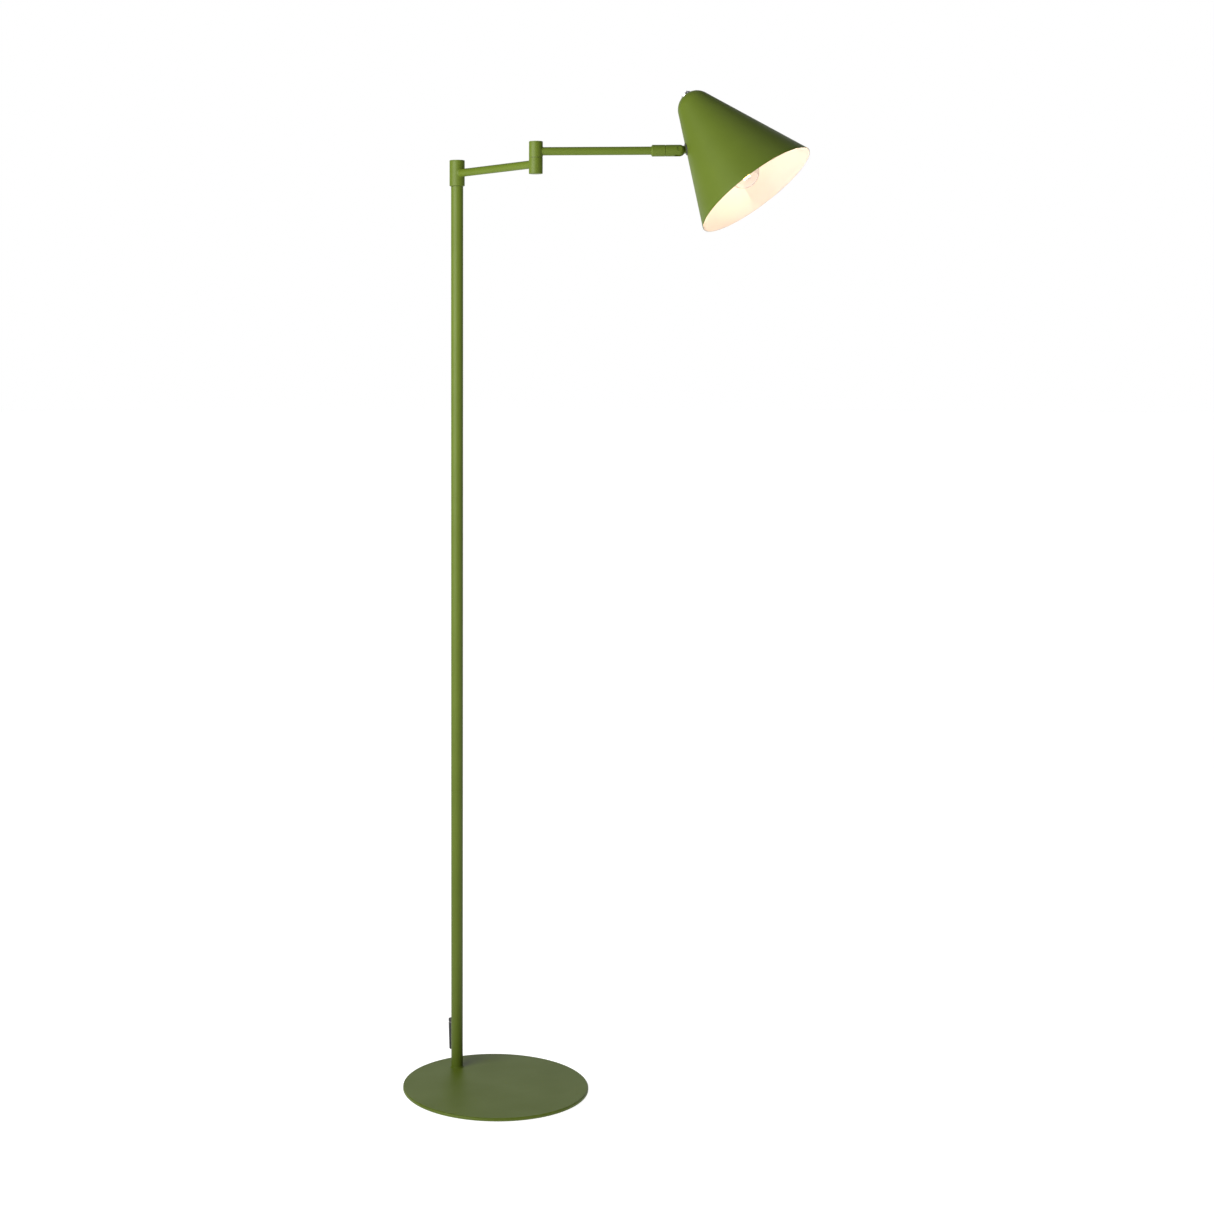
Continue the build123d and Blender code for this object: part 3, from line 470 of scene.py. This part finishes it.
def spin(points, place, steps=96, wave=None, paint=None):
    # turns a closed loop of (height, radius) about the axle
    mesh = bmesh.new()
    rings = []
    for height, radius in points:
        if radius < 1e-7:
            rings.append([mesh.verts.new(place @ Vector((0, 0, height)))] * steps)
            continue
        ring = []
        for step in range(steps):
            turn = 2 * pi * step / steps
            reach = radius + (wave(height, radius, turn) if wave else 0)
            ring.append(mesh.verts.new(place @ Vector((reach * cos(turn), reach * sin(turn), height))))
        rings.append(ring)
    for index, low in enumerate(rings):
        high = rings[(index + 1) % len(rings)]
        for step in range(steps):
            after = (step + 1) % steps
            corners = []
            for vertex in (low[step], low[after], high[after], high[step]):
                if vertex not in corners:
                    corners.append(vertex)
            if len(corners) > 2:
                face = mesh.faces.new(corners)
                face.material_index = paint(index) if paint else 0
    return mesh


def spanOf(node, axis=2):
    low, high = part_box(node)
    return low[axis], high[axis]


def radiusOf(node):
    low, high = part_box(node)
    return (high.x - low.x) / 2


# ---- foot and pole ----
footLook = {"ringRounding": 0.45 * mm, "ringUnder": 0.15 * mm}
poleLook = {
    "bandRounding": 0.30 * mm,
    "spigotStep": 1.2 * mm,  # the tube's wall, that the ring stands flush with
    "spigotLead": 0.4 * mm,
    "boreStep": 4.0 * mm,
    "steps": 96,
}
polePlace = Matrix.Translation((shoulderAt.x, 0, 0))


def makeFootRing(look):
    low, high = spanOf("pole_foot_ring")
    outer = radiusOf("pole_foot_ring")
    inner = radiusOf("base_screw") * 0.6
    outline = [
        (low, inner, 0),
        (low, outer, look["ringUnder"]),
        (high, outer, look["ringRounding"]),
        (high, inner, 0),
    ]
    mesh = spin(roundCorners(outline), polePlace)
    addPiece("footRing", mesh, "stand", [greenCoat], ["pole_foot_ring"])


def makeBand(name, node, lowTube, highTube, look):
    # the turned ring between two tubes, with the spigot that runs into both
    low = spanOf(lowTube)[1]
    high = spanOf(highTube)[0]
    spigotLow, spigotHigh = spanOf(node)
    outer = radiusOf(node)
    inner = outer - look["spigotStep"]
    bore = outer - look["boreStep"]
    outline = [
        (spigotLow, bore, 0),
        (spigotLow, inner, look["spigotLead"]),
        (low, inner, 0),
        (low, outer, look["bandRounding"]),
        (high, outer, look["bandRounding"]),
        (high, inner, 0),
        (spigotHigh, inner, look["spigotLead"]),
        (spigotHigh, bore, 0),
    ]
    mesh = spin(roundCorners(outline), polePlace, look["steps"])
    addPiece(name, mesh, "stand", [greenCoat], [node])


makeFootRing(footLook)
makeBand("lowerBand", "pole_lower_joiner", "pole_lower_tube", "pole_middle_tube", poleLook)
makeBand("upperBand", "pole_upper_joiner", "pole_middle_tube", "pole_upper_tube", poleLook)
print("foot ring and pole bands made")

# ---- cord gland ----
glandLook = {
    "capRounding": 1.5 * mm,
    "tailRounding": 1.1 * mm,
    "slotSpacing": 3.4 * mm,
    "slotWidth": 1.1 * mm,
    "slotDepth": 0.75 * mm,
    "slotsFrom": 5.5 * mm,
    "slotsTo": 27 * mm,
    "bore": 3.2 * mm,
    "tail": 3.8 * mm,
    "edge": 0.3 * mm,
    "neckBore": 2.2 * mm,
    "neck": 3.5 * mm,
    "neckFrom": 4.4 * mm,
    "neckTo": 13.5 * mm,
    "steps": 96,
}


def makeGland(look):
    low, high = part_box("gland_cap")
    centre = Vector(((low.x + high.x) / 2, 0, 0))
    capBottom, capTop = low.z, high.z
    capRadius = (high.x - low.x) / 2
    ringBottom = spanOf("gland_ring")[0]
    ringRadius = radiusOf("gland_ring")
    tailEnd = spanOf("cord_gland")[0]
    place = Matrix.Translation(centre)

    capOutline = [
        (capBottom, 0, 0),
        (capBottom, capRadius, look["edge"]),
        (capTop, capRadius, look["capRounding"]),
        (capTop, 0, 0),
    ]
    cap = spin(roundCorners(capOutline), place, look["steps"])
    addPiece("glandCap", cap, "stand", [blackPlastic], ["gland_cap"])
    boreRadius, tailRadius = look["bore"], look["tail"]
    ringOutline = [
        (ringBottom, boreRadius, 0),
        (ringBottom, ringRadius, look["edge"]),
        (capBottom, ringRadius, look["edge"]),
        (capBottom, boreRadius, 0),
    ]
    ring = spin(roundCorners(ringOutline), place, look["steps"])
    addPiece("glandRing", ring, "stand", [greyPlastic], ["gland_ring"])

    # tapered body, sampled finely so that the relief slots can be pressed into it
    heights = [tailEnd + (ringBottom - tailEnd) * step / 150 for step in range(151)]
    profile = [Vector((ringBottom, boreRadius)), Vector((tailEnd, boreRadius))]
    for height in heights:
        share = (height - tailEnd) / (ringBottom - tailEnd)
        radius = tailRadius + (capRadius - tailRadius) * share
        fromEnd = height - tailEnd
        if fromEnd < look["tailRounding"]:
            inset = look["tailRounding"] - fromEnd
            radius -= look["tailRounding"] - sqrt(max(0, look["tailRounding"] ** 2 - inset**2))
        profile.append(Vector((height, max(radius, boreRadius + 0.02 * mm))))

    def slots(height, radius, turn):
        fromEnd = height - tailEnd
        if radius < boreRadius + 0.1 * mm or not look["slotsFrom"] < fromEnd < look["slotsTo"]:
            return 0
        row = round(fromEnd / look["slotSpacing"])
        away = abs(fromEnd - row * look["slotSpacing"]) / (look["slotWidth"] / 2)
        side = cos(2 * turn + (row % 2) * pi)
        if away > 1 or side < -0.1:
            return 0
        return -look["slotDepth"] * min(1, (1 - away) * 3) * min(1, (side + 0.1) * 4) * 0.75

    body = spin(profile, place, look["steps"], slots)
    neckPlace = placing(Vector((shoulderAt.x, 0, spanOf("gland_nut")[0] + 5 * mm)), Vector((-1, 0, 0)), up)
    neckOutline = [
        (look["neckFrom"], look["neckBore"], 0),
        (look["neckFrom"], look["neck"], look["edge"]),
        (look["neckTo"], look["neck"], 0),
        (look["neckTo"], look["neckBore"], 0),
    ]
    neck = spin(roundCorners(neckOutline), neckPlace, 48)
    neckData = bpy.data.meshes.new("neck")
    neck.to_mesh(neckData)
    neck.free()
    body.from_mesh(neckData)
    bpy.data.meshes.remove(neckData)
    addPiece("glandBody", body, "stand", [blackPlastic], ["cord_gland"])


makeGland(glandLook)
print("cord gland made")

# ---- shoulder, elbow and knuckle barrels ----
barrelLook = {
    "sleeveTop": 0.9 * mm,
    "sleeveFoot": 1.0 * mm,
    "sleeveBore": 8.598 * mm,
    "sleeveFloor": 5.0 * mm,
    "barrelEnd": 0.65 * mm,
    "barrelBore": 7.698 * mm,
    "barrelFloor": 2.4 * mm,
    "seam": 0.30 * mm,
    "threadHole": 4.0 * mm,
    "runningHole": 4.05 * mm,
    "capGroove": 0.10 * mm,
    "capLead": 0.3 * mm,
    "steps": 128,
}


def makeBarrel(name, node, capNode, place, body, floorOnTop, sizes, rounds, look):
    # one turned barrel and the cap pressed into its open end; sizes: bore, floor, hole; rounds: seam, cap
    bore, floor, hole = sizes
    seamRound, capRound = rounds
    outer = radiusOf(capNode)
    closedEnd, openEnd = spanOf(node)
    capInside, capFace = spanOf(capNode)
    if floorOnTop:
        closedEnd, openEnd = openEnd, closedEnd
        capInside, capFace = capFace, capInside
        floor = -floor
    outline = [
        (closedEnd, hole, 0),
        (closedEnd, outer, seamRound),
        (openEnd, outer, look["capGroove"]),
        (openEnd, bore, 0),
        (closedEnd + floor, bore, 0),
        (closedEnd + floor, hole, 0),
    ]
    barrel = spin(roundCorners(outline), place, look["steps"])
    addPiece(name, barrel, body, [greenCoat], [node])
    lid = [
        (capInside, 0, 0),
        (capInside, bore, look["capLead"]),
        (openEnd, bore, 0),
        (openEnd, outer, look["capGroove"]),
        (capFace, outer, capRound),
        (capFace, 0, 0),
    ]
    cap = spin(roundCorners(lid), place, look["steps"])
    addPiece(name + "Cap", cap, body, [greenCoat], [capNode])


def makeBarrels(look):
    elbowPlace = Matrix.Translation((elbowAt.x, elbowAt.y, 0))
    sleeve = look["sleeveBore"], look["sleeveFloor"], look["runningHole"]
    lower = look["barrelBore"], look["barrelFloor"], look["threadHole"]
    upper = look["barrelBore"], look["barrelFloor"], look["runningHole"]
    sleeveRounds = look["sleeveFoot"], look["sleeveTop"]
    barrelRounds = look["seam"], look["barrelEnd"]
    makeBarrel(
        "shoulderSleeve", "shoulder_sleeve", "shoulder_cap", polePlace, "inner_arm",
        False, sleeve, sleeveRounds, look,
    )
    makeBarrel(
        "lowerBarrel", "elbow_lower_barrel", "elbow_lower_cap", elbowPlace, "inner_arm",
        True, lower, barrelRounds, look,
    )
    makeBarrel(
        "upperBarrel", "elbow_upper_barrel", "elbow_upper_cap", elbowPlace, "outer_arm",
        False, upper, barrelRounds, look,
    )


makeBarrels(barrelLook)
print("shoulder and elbow made")

# ---- painted welds where the arm tubes meet the barrels ----
weldLook = {
    "reach": 1.1 * mm,
    "bite": 0.02 * mm,  # how far its edges run into the tube and the barrel
    "rootRadius": 0.3 * mm,
    "rootDepth": 0.5 * mm,
    "steps": 72,
    "arc": 5,
}


def makeWeld(name, axleAt, axleRadius, tubeHeight, tubeWay, tubeRadius, body, look):
    side = up.cross(tubeWay)
    centre = Vector((axleAt.x, axleAt.y, tubeHeight))
    mesh = bmesh.new()
    rings = []
    for step in range(look["steps"]):
        turn = 2 * pi * step / look["steps"]
        ring = []
        for part in range(look["arc"] + 2):
            if part == look["arc"] + 1:
                radius, extra = tubeRadius - look["rootRadius"], -look["rootDepth"]
            else:
                bend = pi / 2 * part / look["arc"]
                radius = tubeRadius - look["bite"] + look["reach"] * (1 - sin(bend))
                extra = look["reach"] * (1 - cos(bend)) - look["bite"]
            across = radius * cos(turn)
            along = sqrt(axleRadius**2 - across**2) + extra
            ring.append(mesh.verts.new(centre + side * across + up * radius * sin(turn) + tubeWay * along))
        rings.append(ring)
    for index, ring in enumerate(rings):
        after = rings[(index + 1) % len(rings)]
        for part in range(len(ring)):
            beyond = (part + 1) % len(ring)
            mesh.faces.new((ring[part], after[part], after[beyond], ring[beyond]))
    addPiece(name, mesh, body, [greenCoat], [], 60)


def makeWelds(look):
    innerHeight = sum(spanOf("inner_arm_tube")) / 2
    outerHeight = sum(spanOf("outer_arm_tube")) / 2
    low, high = spanOf("inner_arm_tube")
    tube = (high - low) / 2
    sleeve = radiusOf("shoulder_cap")
    barrel = radiusOf("elbow_lower_cap")
    makeWeld("sleeveWeld", shoulderAt, sleeve, innerHeight, innerWay, tube, "inner_arm", look)
    makeWeld("lowerBarrelWeld", elbowAt, barrel, innerHeight, -innerWay, tube, "inner_arm", look)
    makeWeld("upperBarrelWeld", elbowAt, barrel, outerHeight, outerWay, tube, "outer_arm", look)


makeWelds(weldLook)
print("welds made")

# ---- shade ----
shadeLook = {
    "leanFromArm": 55.58,
    "mouthRadius": 89.4 * mm,
    "domeRadius": 25.9 * mm,
    "length": 144.5 * mm,
    "wall": 1.0 * mm,
    "pivotAlong": 36.7 * mm,
    "wallFromPivot": 9.6 * mm,
    "switchHole": 6.75 * mm,
    "bushHole": 6.05 * mm,
    "bushHoleFrom": 5 * mm,  # the cutter's ends, measured from the tilt pin
    "bushHoleTo": 16 * mm,
    "domeSteps": 30,
    "coneSteps": 24,
    "lipSteps": 8,
    "sharpAngle": 50,
    "steps": 256,
}
shadeWay = Matrix.Rotation(radians(shadeLook["leanFromArm"]), 3, tiltWay) @ outerWay
armSide = tiltWay.cross(shadeWay)
coneAngle = acos(shadeLook["domeRadius"] / hypot(shadeLook["mouthRadius"], shadeLook["length"])) - atan2(
    shadeLook["length"], shadeLook["mouthRadius"]
)
pivotAcross = (shadeLook["domeRadius"] + shadeLook["wallFromPivot"]) / cos(coneAngle) + shadeLook[
    "pivotAlong"
] * tan(coneAngle)
domeAt = tiltAt - shadeWay * shadeLook["pivotAlong"] - armSide * pivotAcross
shadePlace = placing(domeAt, shadeWay, armSide)


def makeShade(look):
    # outside from the switch hole over the dome to the mouth, a rolled lip, and back up the inside
    dome, wall = look["domeRadius"], look["wall"]
    inner = dome - wall
    domeSteps, coneSteps, lipSteps = look["domeSteps"], look["coneSteps"], look["lipSteps"]

    def arc(radius):
        fromAxis = acos(-sqrt(radius**2 - look["switchHole"] ** 2) / radius)
        lastAngle = pi / 2 + coneAngle
        points = []
        for step in range(domeSteps + 1):
            angle = fromAxis + (lastAngle - fromAxis) * step / domeSteps
            points.append(Vector((radius * cos(angle), radius * sin(angle))))
        return points

    outside = arc(dome)
    mouthOut = Vector((look["length"], look["mouthRadius"]))
    mouthIn = Vector((look["length"], look["mouthRadius"] - wall / cos(coneAngle)))
    tangent = outside[-1]
    for step in range(1, coneSteps):
        outside.append(tangent.lerp(mouthOut, step / coneSteps))
    slope = (mouthOut - tangent).normalized()
    outward = Vector((-slope.y, slope.x))
    lipCentre = mouthOut - outward * wall / 2 - slope * wall / 2
    lip = []
    for step in range(lipSteps + 1):
        angle = pi / 2 - pi * step / lipSteps
        lip.append(lipCentre + outward * wall / 2 * sin(angle) + slope * wall / 2 * cos(angle))
    inside = arc(inner)
    innerTangent = inside[-1]
    for step in range(1, coneSteps):
        inside.append(innerTangent.lerp(mouthIn, step / coneSteps))
    inside.reverse()
    points = outside + lip + inside
    whiteFrom = len(outside) + lipSteps - 2  # the green wraps round the lip
    whiteTo = len(points) - 1

    def paint(index):
        return 1 if whiteFrom <= index < whiteTo else 0

    mesh = spin(points, shadePlace, look["steps"], None, paint)
    coats = [greenCoat, whiteCoat]
    return addPiece("shade", mesh, "shade", coats, ["shade_shell"], look["sharpAngle"])


def cutBushHole(shade, look):
    # the round hole in the wall that the bush sits in
    stemWay = (shadeWay * sin(coneAngle) - armSide * cos(coneAngle)).normalized()
    start, end, radius = look["bushHoleFrom"], look["bushHoleTo"], look["bushHole"]
    outline = [Vector((start, 0)), Vector((start, radius)), Vector((end, radius)), Vector((end, 0))]
    cutter = spin(outline, placing(tiltAt, stemWay, tiltWay), 64)
    bmesh.ops.recalc_face_normals(cutter, faces=cutter.faces)
    data = bpy.data.meshes.new("holeCutter")
    cutter.to_mesh(data)
    cutter.free()
    tool = bpy.data.objects.new("holeCutter", data)
    scene.collection.objects.link(tool)
    step = shade.modifiers.new("bushHole", "BOOLEAN")
    step.object = tool
    step.operation = "DIFFERENCE"
    step.solver = "EXACT"
    bpy.context.view_layer.update()
    evaluated = shade.evaluated_get(bpy.context.evaluated_depsgraph_get())
    finished = bpy.data.meshes.new_from_object(evaluated)
    shade.modifiers.clear()
    shade.data = finished
    bpy.data.objects.remove(tool)
    finished.set_sharp_from_angle(angle=radians(look["sharpAngle"]))


shade = makeShade(shadeLook)
cutBushHole(shade, shadeLook)
print("shade made,", len(shade.data.vertices), "points")

# ---- lampholder and bulb ----
lampLook = {
    "holderRadius": 14.0 * mm,
    "skirtRadius": 13.0 * mm,
    "holderBase": 11.0 * mm,
    "socketRadius": 8.2 * mm,
    "socketWall": 1.2 * mm,
    "threadRoom": 5.0 * mm,
    "leadRoom": 3.5 * mm,
    "ribs": 30,
    "ribDepth": 0.55 * mm,
    "capRadius": 6.75 * mm,
    "threadDepth": 0.42 * mm,
    "threadPitch": 2.82 * mm,
    "globeRadius": 22.5 * mm,
    "neckRadius": 6.8 * mm,
    "neckLength": 3.0 * mm,
    "neckBack": 15.5 * mm,  # from the globe's centre to where the neck's curve leaves it
    "glassWall": 0.7 * mm,
    "glow": (1.0, 0.67, 0.50),
    "glowPower": 0.29,
}


def alongShade(node):
    # a node's lowest and highest reach along the shade's axis, from its vertices
    reaches = [(vertex.co - domeAt).dot(shadeWay) for vertex in frame["nodes"][node].data.vertices]
    return min(reaches), max(reaches)


def makeHolder(look):
    low, high = alongShade("lampholder")
    sleeveLow = alongShade("holder_thread_sleeve")[0]
    socketFloor = sleeveLow - look["socketWall"]
    bore, threadRoom, leadRoom = look["socketRadius"], look["threadRoom"], look["leadRoom"]
    outer, skirt = look["holderRadius"], look["skirtRadius"]
    ribLow, ribHigh = socketFloor - 2 * mm, high - 4.2 * mm
    points = roundCorners(
        [
            (low, threadRoom, 0),
            (low, look["holderBase"], 1.0 * mm),
            (low + 4 * mm, outer, 1.2 * mm),
            (socketFloor - 4 * mm, outer, 0.4 * mm),
            (socketFloor - 3 * mm, skirt, 0.3 * mm),
        ],
        6,
    )[:-6]
    points.append(Vector((socketFloor - 3 * mm, skirt)))
    for step in range(25):
        points.append(Vector((ribLow + (ribHigh - ribLow) * step / 24, skirt)))
    points += roundCorners(
        [
            (high - 3 * mm, skirt, 0),
            (high - 3 * mm, outer, 0.3 * mm),
            (high, outer, 0.8 * mm),
            (high, bore, 0.5 * mm),
            (socketFloor, bore, 0),
            (socketFloor, leadRoom, 0),
            (low + 6 * mm, leadRoom, 0),
            (low + 6 * mm, threadRoom, 0),
        ],
        6,
    )

    def ribs(height, radius, turn):
        if not ribLow - 1e-6 <= height <= ribHigh + 1e-6 or radius < skirt - 0.3 * mm:
            return 0
        ends = min(height - ribLow, ribHigh - height) / (1.2 * mm)
        groove = max(0, cos(look["ribs"] * turn)) ** 3
        return -look["ribDepth"] * groove * min(1, ends)

    mesh = spin(points, shadePlace, 300, ribs)
    addPiece("lampHolder", mesh, "shade", [creamPlastic], ["lampholder"])


def makeBulb(look):
    capLow, capHigh = alongShade("bulb_cap")
    tip, collar = 3.2 * mm, capLow + 4 * mm
    outline = [Vector((capLow, 0)), Vector((capLow, tip)), Vector((capLow + 0.7 * mm, tip + 0.2 * mm))]
    outline.append(Vector((collar, look["capRadius"] - 0.5 * mm)))
    threadLow, threadHigh = collar + 0.6 * mm, capHigh - 5.0 * mm
    steps, root = 84, look["capRadius"] - 0.25 * mm
    for step in range(steps + 1):
        outline.append(Vector((threadLow + (threadHigh - threadLow) * step / steps, root)))
    outline.append(Vector((capHigh - 4.2 * mm, look["capRadius"] - 0.2 * mm)))
    outline.append(Vector((capHigh - 0.4 * mm, look["neckRadius"] + 0.15 * mm)))
    outline.append(Vector((capHigh, look["neckRadius"] - 0.1 * mm)))
    outline.append(Vector((capHigh, 0)))

    def thread(height, radius, turn):
        if not threadLow <= height <= threadHigh or radius < look["capRadius"] - 0.3 * mm:
            return 0
        ends = min(1, (height - threadLow) / mm, (threadHigh - height) / mm)
        wave = sin(2 * pi * height / look["threadPitch"] - turn)
        return look["threadDepth"] * wave * 0.6 * max(0, ends)

    mesh = spin(outline, shadePlace, 96, thread)
    addPiece("bulbScrewCap", mesh, "shade", [nickelPlate], ["bulb_cap"])

    glassLow, glassHigh = alongShade("bulb_glass")
    centre = glassHigh - look["globeRadius"]

    def globe(shrink):
        radius = look["globeRadius"] - shrink
        neck = look["neckRadius"] - shrink
        joinBack = look["neckBack"]
        join = Vector((centre - joinBack, sqrt(radius**2 - joinBack**2)))
        tangent = Vector((join.y, joinBack)).normalized()
        start = Vector((glassLow + look["neckLength"], neck))
        curve = interpolate_bezier(
            start, start + Vector((5.0 * mm, 0)), join - tangent * 6.0 * mm, join, 16
        )
        points = [Vector((glassLow, neck))] + [Vector(point[:2]) for point in curve]
        first = atan2(join.y, join.x - centre)
        for step in range(1, 41):
            angle = first * (1 - step / 40)
            points.append(Vector((centre + radius * cos(angle), radius * sin(angle) if step < 40 else 0)))
        return points

    outside = globe(0)
    inside = globe(look["glassWall"])
    inside.reverse()
    mesh = spin(outside + inside, shadePlace, 144)
    glass = addPiece("bulbGlobe", mesh, "shade", [bulbGlass], ["bulb_glass"], 70)
    glass.visible_shadow = False
    for name in ("bulb_stem", "bulb_support", "bulb_filaments"):
        frame["nodes"][name].visible_shadow = False
    return domeAt + shadeWay * centre


def lightBulb(centre, look):
    data = bpy.data.lights.new("bulbGlow", "POINT")
    data.energy = look["glowPower"]
    data.color = look["glow"]
    data.shadow_soft_size = 0.008
    glow = bpy.data.objects.new("bulbGlow", data)
    glow.location = centre
    glow.visible_camera = False
    scene.collection.objects.link(glow)
    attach(glow, "shade")


makeHolder(lampLook)
bulbAt = makeBulb(lampLook)
lightBulb(bulbAt, lampLook)
print("lampholder and bulb made")

# ---- rocker switch ----
rockerLook = {
    "halfLength": 4.6 * mm,
    "halfWidth": 3.5 * mm,
    "restAngle": 12,
    "endHeight": 3.0 * mm,
    "dip": 0.9 * mm,
    "depth": 3.0 * mm,
    "edge": 0.35 * mm,
    "bowSteps": 14,
}


def makeRocker(look):
    lean = radians(look["restAngle"])
    rockerWay = shadeWay * cos(lean) - armSide * sin(lean)
    place = placing(rockerAt, rockerWay, tiltWay.cross(rockerWay))
    half, top = look["halfLength"], -look["endHeight"]
    outline = [Vector((top, half)), Vector((0, half)), Vector((look["depth"], half / 2))]
    outline += [Vector((look["depth"], -half / 2)), Vector((0, -half)), Vector((top, -half))]
    bow = look["bowSteps"]
    for step in range(1, bow):
        share = -1 + 2 * step / bow
        outline.append(Vector((top + look["dip"] * (1 - share**2), half * share)))
    mesh = bmesh.new()
    sides = []
    for width in (-look["halfWidth"], look["halfWidth"]):
        sides.append([mesh.verts.new(place @ Vector((across, width, height))) for height, across in outline])
    mesh.faces.new(sides[0])
    mesh.faces.new(list(reversed(sides[1])))
    count = len(outline)
    for index in range(count):
        after = (index + 1) % count
        mesh.faces.new((sides[0][index], sides[0][after], sides[1][after], sides[1][index]))
    bmesh.ops.recalc_face_normals(mesh, faces=mesh.faces)
    sharp = [edge for edge in mesh.edges if edge.calc_face_angle(0) > radians(30)]
    bmesh.ops.bevel(mesh, geom=sharp, offset=look["edge"], segments=4, profile=0.6, affect="EDGES")
    addPiece("switchRocker", mesh, "switch_rocker", [glossBlack], ["switch_rocker"], 60)


makeRocker(rockerLook)
print("rocker made")

# ---- floor, world and lights ----
studioLook = {
    "floorRadius": 40.0,
    "floorDrop": 0.3 * mm,
    "floorColour": (0.42, 0.42, 0.415, 1),
    "floorShade": (0.38, 0.38, 0.375, 1),
    "floorLight": (1.0, 1.0, 0.995, 1),
    "floorGlow": 0.93,
    "back": (1.0, 1.0, 1.0, 1),
    "front": (0.13, 0.13, 0.131, 1),
    "backStart": 0.84,
    "backFull": 0.94,
    "armMiddle": (0.1, 0.05, 1.25),  # measured from the pole
    "keyShift": (1.05, 1.0, 0.1),  # to the left, nearer and higher
    "keyPower": 46,
    "keySize": 1.3,
    "topAt": (0.1, 0.05, 2.7),
    "topShift": (0, 0.3, 0),
    "topAim": (0.05, 0, 0.5),
    "topPower": 3,
    "topSize": 1.4,
    "fillAt": (0, 0, 0.9),
    "fillShift": (-1.8, 1.2, 0),
    "fillAim": (0, 0, 0.7),
    "fillPower": 1.5,
    "fillSize": 1.2,
}


def makeFloor(look):
    finish = Finish("paleFloor")
    mottle = finish.noise(0.9, 4)
    fine = finish.noise(0.004, 3)
    colour = finish.blendColours(mottle, look["floorColour"], look["floorShade"])
    roughness = 0.85 + (fine - 0.5) * 0.1
    material = finish.surface(
        baseColor=colour,
        roughness=roughness,
        emissionColor=look["floorLight"],
        emissionStrength=look["floorGlow"],
        normal=finish.bump(fine, 0.0002, 0.2),
        specularLevel=0.1,
    )
    mesh = bmesh.new()
    bmesh.ops.create_circle(mesh, cap_ends=True, segments=96, radius=look["floorRadius"])
    data = bpy.data.meshes.new("floor")
    mesh.to_mesh(data)
    mesh.free()
    data.materials.append(material)
    floor = bpy.data.objects.new("floor", data)
    floor.location.z = -look["floorDrop"]
    scene.collection.objects.link(floor)


def makeWorld(look):
    # lights the lamp from a bright backdrop behind it and a dim room in front, and is seen as plain white
    world = bpy.data.worlds.new("studio")
    scene.world = world
    finish = Finish("studio", world)
    direction = finish.add("ShaderNodeTexCoord", output="Generated")
    facing = finish.add(
        "ShaderNodeVectorMath",
        {"operation": "DOT_PRODUCT"},
        {0: direction, 1: tuple(ahead)},
        "Value",
    )
    share = finish.ramp(facing * 0.5 + 0.5, (look["backStart"], 0), (look["backFull"], 1))
    colour = finish.blendColours(share, look["front"], look["back"])
    seen = finish.add("ShaderNodeLightPath", output="Is Camera Ray")
    shown = finish.blendColours(seen, colour, look["back"])
    background = finish.add("ShaderNodeBackground", {}, {"Color": shown, "Strength": 1.0})
    finish.add("ShaderNodeOutputWorld", {}, {"Surface": background})


def addLight(name, place, aim, size, power):
    data = bpy.data.lights.new(name, "AREA")
    data.shape = "SQUARE"
    data.size = size
    data.energy = power
    lamp = bpy.data.objects.new(name, data)
    lamp.location = place
    lamp.rotation_euler = (aim - place).to_track_quat("-Z", "Y").to_euler()
    lamp.visible_camera = False
    scene.collection.objects.link(lamp)


def shifted(place, shift):
    left, nearer, higher = shift
    return place + toLeft * left - ahead * nearer + up * higher


def makeLights(look):
    arm = Vector((shoulderAt.x, 0, 0)) + Vector(look["armMiddle"])
    keyAt = shifted(arm, look["keyShift"])
    addLight("keyLight", keyAt, arm, look["keySize"], look["keyPower"])
    topAt = shifted(Vector(look["topAt"]), look["topShift"])
    addLight("topLight", topAt, Vector(look["topAim"]), look["topSize"], look["topPower"])
    fillAt = shifted(Vector(look["fillAt"]), look["fillShift"])
    addLight("fillLight", fillAt, Vector(look["fillAim"]), look["fillSize"], look["fillPower"])


makeFloor(studioLook)
makeWorld(studioLook)
makeLights(studioLook)
print("studio made")
